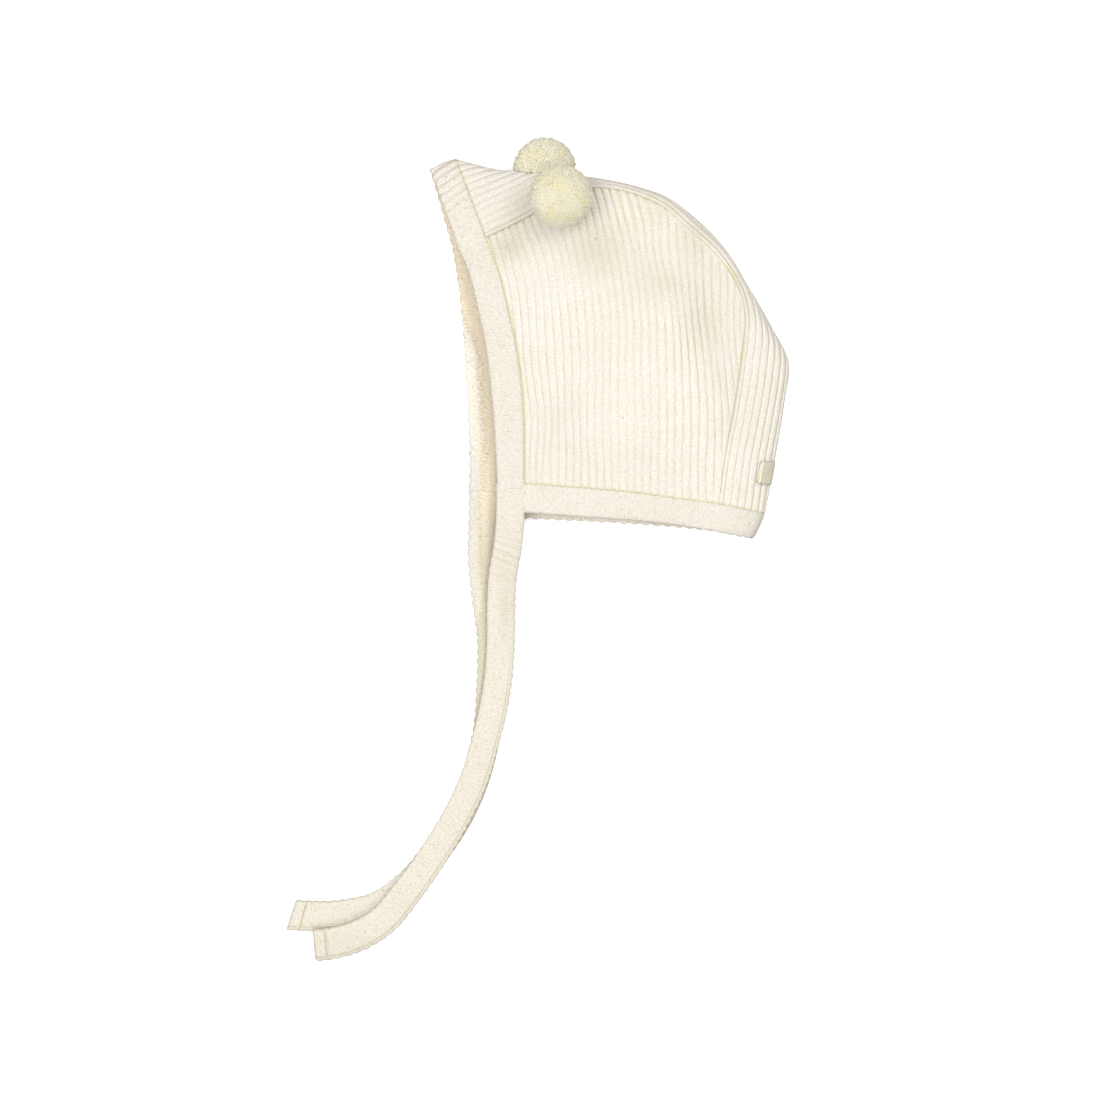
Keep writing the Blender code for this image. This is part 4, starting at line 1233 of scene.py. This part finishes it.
# Strength of the painted shade in the core and at the foot of the yarn, and at clipped ends that face down
FOOT_SHADE = 0.6
UNDER_SHADE = 0.30
POMPOM_CREAM = (0.690, 0.655, 0.500, 1.0)
POMPOM_PALE = (0.805, 0.770, 0.640, 1.0)
POMPOM_YELLOW = (0.740, 0.690, 0.380, 1.0)
POMPOM_SHADE = (0.640, 0.610, 0.460, 1.0)


def cloth_tree():
    """Search tree over the outer faces of the crown and both side panels."""
    vertices = []
    faces = []
    for base in (crown_base, left_base, right_base):
        base = base[::CLOTH_EVERY, ::CLOTH_EVERY]
        faces += cells(*base.shape[:2], len(vertices)).tolist()
        vertices += [Vector(point) for point in base.reshape(-1, 3)]
    return BVHTree.FromPolygons(vertices, faces)


def cloth_height(x, y):
    """Height of the topmost cloth at a plan point."""
    return cloth.ray_cast(Vector((x, y, 2 * SHELL_HEIGHT)), Vector((0, 0, -1)))[0].z


def fibonacci(count):
    """Evenly spread directions: equal steps in height and a golden-angle turn between neighbours."""
    step = np.arange(count) + 0.5
    height = 1 - 2 * step / count
    turn = np.pi * (1 + 5**0.5) * step
    flat = np.sqrt(1 - height**2)
    return np.stack([flat * np.cos(turn), flat * np.sin(turn), height], axis=-1)


def pompom_material():
    """Cream yarn, yellower in some tufts and paler at the clipped ends, with painted shade at the core and
    feet.
    """
    material, tree, shader = cloth_shader("pompom_yarn_cream", 0.95)
    fuzz = fuzzy(tree, 1500.0)
    paler = maths(tree, "MULTIPLY_ADD", fuzz[1], 0.4, times(tree, mask(tree, "pale"), 0.6))
    colour = mixed(tree, paler, POMPOM_CREAM, POMPOM_PALE)
    # Painted shade in the core, at the yarn's foot and on ends that face down
    colour = mixed(tree, mask(tree, "depth"), colour, POMPOM_SHADE)
    colour = mixed(tree, mask(tree, "tuft"), colour, POMPOM_YELLOW)
    surfaced(tree, shader, colour, ((fuzz[0], 0.10 * MM),))
    return material


POMPOM_YARN = pompom_material()


def room_around(centre, directions):
    """How far each direction runs from a centre before it meets the cloth and before it meets the table, or
    the pompom's diameter if it meets nothing nearer."""
    longest = POMPOM_DIAMETER
    to_cloth = [cloth.ray_cast(Vector(centre), Vector(d), longest)[3] or longest for d in directions]
    fall = -directions[:, 2]
    to_table = np.where(fall > LEAST_FALL, centre[2] / np.maximum(fall, LEAST_FALL), longest)
    return np.array(to_cloth), to_table


def pompom(name, centre, clear, seed):
    """Yarn ends as thin three-sided strands on evenly spread directions, jittered and leaned towards the
    middle of their tuft, over a core ball. The ends stop short of the cloth and the table."""
    rng = np.random.default_rng(seed)
    radius = POMPOM_DIAMETER / 2
    heart = np.asarray(centre)
    out = unit(fibonacci(YARN_ENDS) + rng.normal(0, YARN_JITTER, (YARN_ENDS, 3)))
    to_cloth, to_table = room_around(centre, out)
    tuft_out = unit(rng.normal(size=(TUFTS, 3)))
    likeness = out @ tuft_out.T
    nearest = likeness.argmax(axis=1)
    likeness = likeness.max(axis=1)
    closeness = np.clip((likeness - TUFT_EDGE) / (1 - TUFT_EDGE), 0, 1)
    length = radius * (YARN_SHARE + rng.normal(0, YARN_SPREAD, YARN_ENDS) + TUFT_RAISE * (closeness - 0.5))
    length = np.minimum(length, np.minimum(to_cloth - clear, to_table - TABLE_CLEAR))
    foot = np.minimum(length - SHORTEST_END, radius * (CORE_SHARE - FOOT_SINK))
    sideways = unit(np.cross(out, rng.normal(size=(YARN_ENDS, 3))))
    other = np.cross(out, sideways)
    toward = (tuft_out[nearest] - out * likeness[:, None]) * TUFT_PULL
    lean = toward + rng.normal(0, YARN_LEAN, (YARN_ENDS, 3))
    corners = []
    for share, thick in YARN_TAPER:
        spot = heart + out * (foot + (length - foot) * share)[:, None] + lean * share
        for angle in 2 * np.pi * np.arange(3) / 3:
            corners.append(spot + (sideways * np.cos(angle) + other * np.sin(angle)) * YARN_WIDTH * thick)
    first = np.arange(YARN_ENDS)[:, None] * 6
    faces = []
    for side in ((0, 1, 4, 3), (1, 2, 5, 4), (2, 0, 3, 5), (3, 4, 5), (2, 1, 0)):
        faces += (first + np.array(side)[None]).tolist()
    # Painted shade on ends that face down, and at the foot of every end
    under = UNDER_SHADE * (1 - ramped(out[:, 2], 0.0, 0.75))
    depth = np.stack([np.full(YARN_ENDS, FOOT_SHADE)] * 3 + [under] * 3, axis=-1)
    yellow = rng.random(YARN_ENDS) < YELLOW_YARN
    picked = np.isin(nearest, np.flatnonzero(rng.random(TUFTS) < YELLOW_TUFTS * tuft_out[:, 2]))
    tuft = np.where(picked & yellow & (closeness > YELLOW_HEART), YELLOW_STRENGTH, 0.0)
    pale = rng.random(YARN_ENDS)

    turn = np.linspace(0, 2 * np.pi, CORE_AROUND, endpoint=False)
    tilt = np.linspace(0, np.pi, CORE_ROWS)[:, None]
    ball = (np.sin(tilt) * np.cos(turn), np.sin(tilt) * np.sin(turn), np.cos(tilt))
    ball = np.stack(np.broadcast_arrays(*ball), axis=-1).reshape(-1, 3)
    core_reach = np.minimum(*room_around(centre, ball)) - clear - CORE_CLEAR
    core = heart + ball * np.minimum(core_reach, radius * CORE_SHARE)[:, None]
    faces += tube(CORE_ROWS, CORE_AROUND, YARN_ENDS * 6, turned=True, shift=1)
    vertices = np.concatenate([np.stack(corners, axis=1).reshape(-1, 3), core])
    vertices[:, 2] = np.maximum(vertices[:, 2], 0)
    masks = {
        "depth": np.concatenate([depth.ravel(), np.full(len(core), FOOT_SHADE)]),
        "tuft": np.concatenate([np.repeat(tuft, 6), np.zeros(len(core))]),
        "pale": np.concatenate([np.repeat(pale, 6), np.zeros(len(core))]),
    }
    piece = knit_mesh(name, vertices, faces, np.zeros((len(vertices), 2)), masks)
    piece.data.materials.append(POMPOM_YARN)
    return piece


cloth = cloth_tree()
seat = place(*LEFT_POMPOM)
left_heart = (*seat, cloth_height(*seat) + POMPOM_DIAMETER / 2 - LEFT_POMPOM_SINK)
left_pompom = pompom("left_pompom_yarn", left_heart, LEFT_CLEAR, LEFT_SEED)
right_heart = (*place(*RIGHT_POMPOM), POMPOM_DIAMETER / 2)
right_pompom = pompom("right_pompom_yarn", right_heart, RIGHT_CLEAR, RIGHT_SEED)
for piece, cad_name in ((left_pompom, "left_pompom"), (right_pompom, "right_pompom")):
    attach(piece, "root")
    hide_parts(cad_name)

# Label: a short bare tab of woven beige tape on the back of the crown just above the nape, sewn down along
# the edge next to the side panel with one bright raised line of thread.

# Middle of the tab, as shares of the crown's length and of its width
LABEL_ALONG = 0.930
LABEL_AROUND = 0.390
LABEL_WIDTH = 8.2 * MM
LABEL_LENGTH = 10.9 * MM
LABEL_LIFT = 0.45 * MM
LABEL_THICKNESS = 0.8 * MM
LABEL_ROUND = 0.7 * MM
LABEL_ROWS = 33
LABEL_COLUMNS = 25
LABEL_EVERY = 4
THREAD_RADIUS = 0.22 * MM
THREAD_LIFT = 0.1 * MM
# The column of the tab that the thread runs down, and the shares of it where it starts and ends
THREAD_COLUMN = 1
THREAD_SPAN = (0.06, 0.94)
THREAD_RINGS = 7
THREAD_AROUND = 8
TAPE_BEIGE = (0.505, 0.478, 0.385, 1.0)
TAPE_DARK = (0.385, 0.365, 0.285, 1.0)
THREAD_PALE = (0.860, 0.820, 0.560, 1.0)
# Stripes along the tape: millimetres from the sewn edge, strength and colour, all of one half width
STRIPES = ((0.70, 0.5, TAPE_DARK), (1.80, 0.5, TAPE_DARK), (1.25, 0.9, THREAD_PALE))
STRIPE_HALF = 0.38


def rolled(distance, width):
    """How far an edge is tucked down, from 0 inside to 1 at the edge itself: a quarter of a circle."""
    part = np.clip(1 - distance / width, 0, 1)
    return 1 - np.sqrt(1 - part**2)


def label_material():
    """Beige ribbon in plain weave, its threads half a millimetre apart."""
    material, tree, shader = cloth_shader("label_tape_beige", 0.80)
    parts = node(tree, "ShaderNodeSeparateXYZ", {0: knit_uv(tree)}).outputs
    warp, weft = (maths(tree, "SINE", times(tree, part, 4 * np.pi)) for part in parts[:2])
    weave = maths(tree, "MULTIPLY_ADD", times(tree, warp, weft), 0.5, 0.5)
    fuzz = fuzzy(tree, 3000.0)
    colour = mixed(tree, times(tree, fuzz[1], 0.6), TAPE_BEIGE, TAPE_DARK)
    colour = mixed(tree, times(tree, weave, 0.35), colour, TAPE_DARK)
    from_edge = maths(tree, "ADD", parts[0], 0.5 * LABEL_WIDTH / MM)
    for middle, strength, shade in STRIPES:
        stripe = ramp(tree, apart(tree, from_edge, middle), 0.3 * STRIPE_HALF, STRIPE_HALF, strength, 0.0)
        colour = mixed(tree, stripe, colour, shade)
    surfaced(tree, shader, colour, ((fuzz[0], 0.08 * MM), (weave, 0.08 * MM)))
    return material


def plain_material(name, roughness, colour, other):
    """A material that goes from one colour to another in soft patches and flecks."""
    material, tree, shader = cloth_shader(name, roughness)
    surfaced(tree, shader, mixed(tree, fuzzy(tree, 3000.0)[1], colour, other))
    return material


def label():
    """The tab laid over the crown's own curve, its outer face rolled down at the edges. The inner face comes
    to lie the label's lift above the crown, because the wall is taken off the face that it is given."""
    spread = np.linspace(-0.5, 0.5, LABEL_ROWS)
    side = np.linspace(-0.5, 0.5, LABEL_COLUMNS)
    fold = crown_surface(np.linspace(0, 1, PATH_STEPS), np.array([0.5]))[:, 0]
    shares = LABEL_ALONG + spread * LABEL_LENGTH / reach_along(fold)[-1]
    widths = LABEL_AROUND + side * LABEL_WIDTH / reach_along(crown_section(LABEL_ALONG))[-1]
    base = crown_surface(shares, widths)
    normals = normals_on(base, (1, 0, 0))
    from_ends = (0.5 - np.abs(spread))[:, None] * LABEL_LENGTH
    from_sides = (0.5 - np.abs(side))[None] * LABEL_WIDTH
    sag = rolled(np.minimum(from_ends, from_sides), LABEL_ROUND) * 0.5 * LABEL_THICKNESS
    outer = base + normals * (LABEL_LIFT + LABEL_THICKNESS - sag)[..., None]
    floor_face = base + normals * (LABEL_LIFT + WALL)
    uv = np.broadcast_arrays((side * LABEL_WIDTH / MM)[None], (spread * LABEL_LENGTH / MM)[:, None])
    piece = walled("back_label_tape", outer, floor_face, normals, LABEL_EVERY, np.stack(uv, axis=-1), {})
    piece.data.materials.append(label_material())
    return piece, outer, normals


def label_thread(outer, normals):
    """The thread: a closed capsule down a column of the tab, its radius the root of 1 less a fourth power."""
    line = outer[:, THREAD_COLUMN] + normals[:, THREAD_COLUMN] * THREAD_LIFT
    across = outer[:, THREAD_COLUMN + 1] - outer[:, THREAD_COLUMN]
    reach = reach_along(line)
    at = np.linspace(*THREAD_SPAN, THREAD_RINGS) * reach[-1]
    spine, up, side = (read_off(values, reach, at) for values in (line, normals[:, THREAD_COLUMN], across))
    angle = np.linspace(0, 2 * np.pi, THREAD_AROUND, endpoint=False)
    radius = THREAD_RADIUS * np.sqrt(np.clip(1 - np.linspace(-1, 1, THREAD_RINGS) ** 4, END_LEAST, 1))
    ring = (
        spine[:, None]
        + unit(side)[:, None] * (np.cos(angle)[None] * radius[:, None])[..., None]
        + unit(up)[:, None] * (np.sin(angle)[None] * radius[:, None])[..., None]
    )
    faces = tube(THREAD_RINGS, THREAD_AROUND, turned=True, capped=True, shift=1)
    return knit_mesh("label_stitches", ring, faces, np.zeros((THREAD_RINGS * THREAD_AROUND, 2)), {})


tab, tab_face, tab_up = label()
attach(tab, "root")
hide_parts("back_label")
tab_stitches = label_thread(tab_face, tab_up)
tab_stitches.data.materials.append(plain_material("label_thread_pale", 0.7, THREAD_PALE, RIB_CREAM))
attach(tab_stitches, "root")

# Lint: three dark specks and one short dark fibre that have settled on the left side panel. They lie loose on
# the knit, each a flattened ball no thicker than a thread.

# Middle as shares of depth and height, length and width in millimetres, turn in radians
LINT_ROWS = (
    (0.461, 0.785, 0.7, 0.7, 0.0),
    (0.213, 0.764, 0.6, 0.6, 0.0),
    (0.536, 0.319, 0.6, 0.6, 0.0),
    (0.660, 0.110, 2.8, 0.5, 0.79),
)
LINT_HALF = 0.2 * MM
LINT_LIFT = 0.15 * MM
LINT_RINGS = 7
LINT_AROUND = 10
LINT_GREY = (0.20, 0.19, 0.14, 1.0)
LINT_PALE = (0.30, 0.28, 0.20, 1.0)


def lint():
    """Each speck is a small flattened ball on the cloth: cos and sin of two angles scaled to its size."""
    around = np.linspace(0, 2 * np.pi, LINT_AROUND, endpoint=False)
    rise = np.linspace(-np.pi / 2, np.pi / 2, LINT_RINGS)[:, None]
    balls = []
    faces = []
    for k, (across, up, length, width, turn) in enumerate(LINT_ROWS):
        spot = place(across, up)
        x = np.cos(rise) * np.cos(around) * length * MM / 2
        y = np.cos(rise) * np.sin(around) * width * MM / 2
        z = np.sin(rise) * LINT_HALF + cloth_height(*spot) + LINT_LIFT + np.zeros_like(x)
        turned_x = spot[0] + x * np.cos(turn) - y * np.sin(turn)
        turned_y = spot[1] + x * np.sin(turn) + y * np.cos(turn)
        balls.append(np.stack([turned_x, turned_y, z], axis=-1).reshape(-1, 3))
        faces += tube(LINT_RINGS, LINT_AROUND, k * LINT_RINGS * LINT_AROUND)
    vertices = np.concatenate(balls)
    return knit_mesh("lint_specks", vertices, faces, np.zeros((len(vertices), 2)), {})


specks = lint()
specks.data.materials.append(plain_material("lint_dark", 0.9, LINT_GREY, LINT_PALE))
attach(specks, "root")

# Studio: a plain white table, soft lamps from the upper right and the left and a weak one from the front, an
# even pale surround, and the camera straight above with a long lens.

# Height of the camera and of the plane that it is measured from, and width and middle of what it sees there
CAMERA_HEIGHT = 4.0
SHARP_PLANE = 0.020
FRAME_WIDTH = 0.5192
FRAME_MIDDLE = (-0.0330, -0.0708)
SENSOR = 36.0
# Half the table's side, and how far its top lies below the cloth
TABLE_HALF = 2.5
TABLE_DROP = 0.1 * MM
TABLE_WHITE = (0.97, 0.97, 0.97, 1.0)
TABLE_GLOW = 0.35
SKY_WHITE = (1.0, 1.0, 1.0, 1.0)
HORIZON_GREY = (0.25, 0.25, 0.26, 1.0)
SKY_STRENGTH = 1.25
# How high up the surround is grey and from where it is white, from 0 at the table's level to 1 straight up
SKY_RISE = (0.05, 0.9)
LAMP_DISTANCE = 1.7
# Name, direction from the bonnet, size in metres and power in watts
LAMP_ROWS = (
    ("key_lamp", (0.32, 0.34, 0.88), 0.7, 12.7),
    ("fill_lamp", (-0.48, -0.06, 0.87), 0.8, 13.0),
    ("front_lamp", (-0.10, -0.78, 0.62), 0.8, 3.5),
)

# The table itself throws no light back up onto the cloth
table = bpy.data.objects.new("table", bpy.data.meshes.new("table"))
square = ((-1, -1), (1, -1), (1, 1), (-1, 1))
table_corners = [(x * TABLE_HALF, y * TABLE_HALF, -TABLE_DROP) for x, y in square]
table.data.from_pydata(table_corners, [], [(0, 1, 2, 3)])
table.visible_diffuse = False
table_material, table_tree, table_shader = cloth_shader("table_white", 0.9)
for key, value in (
    ("Base Color", TABLE_WHITE),
    ("Specular IOR Level", 0.1),
    ("Emission Color", TABLE_WHITE),
    ("Emission Strength", TABLE_GLOW),
):
    feed(table_tree, table_shader.inputs[key], value)
table.data.materials.append(table_material)
bpy.context.scene.collection.objects.link(table)

world = bpy.data.worlds.new("studio")
world.use_nodes = True
sky_tree = world.node_tree
surround = node(sky_tree, "ShaderNodeTexCoord").outputs["Generated"]
height_up = node(sky_tree, "ShaderNodeSeparateXYZ", {0: surround}).outputs[2]
sky = mixed(sky_tree, ramp(sky_tree, height_up, *SKY_RISE), HORIZON_GREY, SKY_WHITE)
feed(sky_tree, sky_tree.nodes["Background"].inputs["Color"], sky)
feed(sky_tree, sky_tree.nodes["Background"].inputs["Strength"], SKY_STRENGTH)
bpy.context.scene.world = world

for name, direction, size, power in LAMP_ROWS:
    data = bpy.data.lights.new(name, "AREA")
    data.size = size
    data.energy = power
    light = bpy.data.objects.new(name, data)
    away = Vector(direction).normalized()
    light.location = away * LAMP_DISTANCE
    light.rotation_euler = away.to_track_quat("Z", "Y").to_euler()
    bpy.context.scene.collection.objects.link(light)

camera_data = bpy.data.cameras.new("camera")
camera_data.sensor_width = SENSOR
camera_data.lens = SENSOR * (CAMERA_HEIGHT - SHARP_PLANE) / FRAME_WIDTH
camera_data.clip_end = 20.0
camera = bpy.data.objects.new("camera", camera_data)
camera.location = (*FRAME_MIDDLE, CAMERA_HEIGHT)
bpy.context.scene.collection.objects.link(camera)
bpy.context.scene.camera = camera
bpy.context.scene.view_settings.view_transform = "Standard"
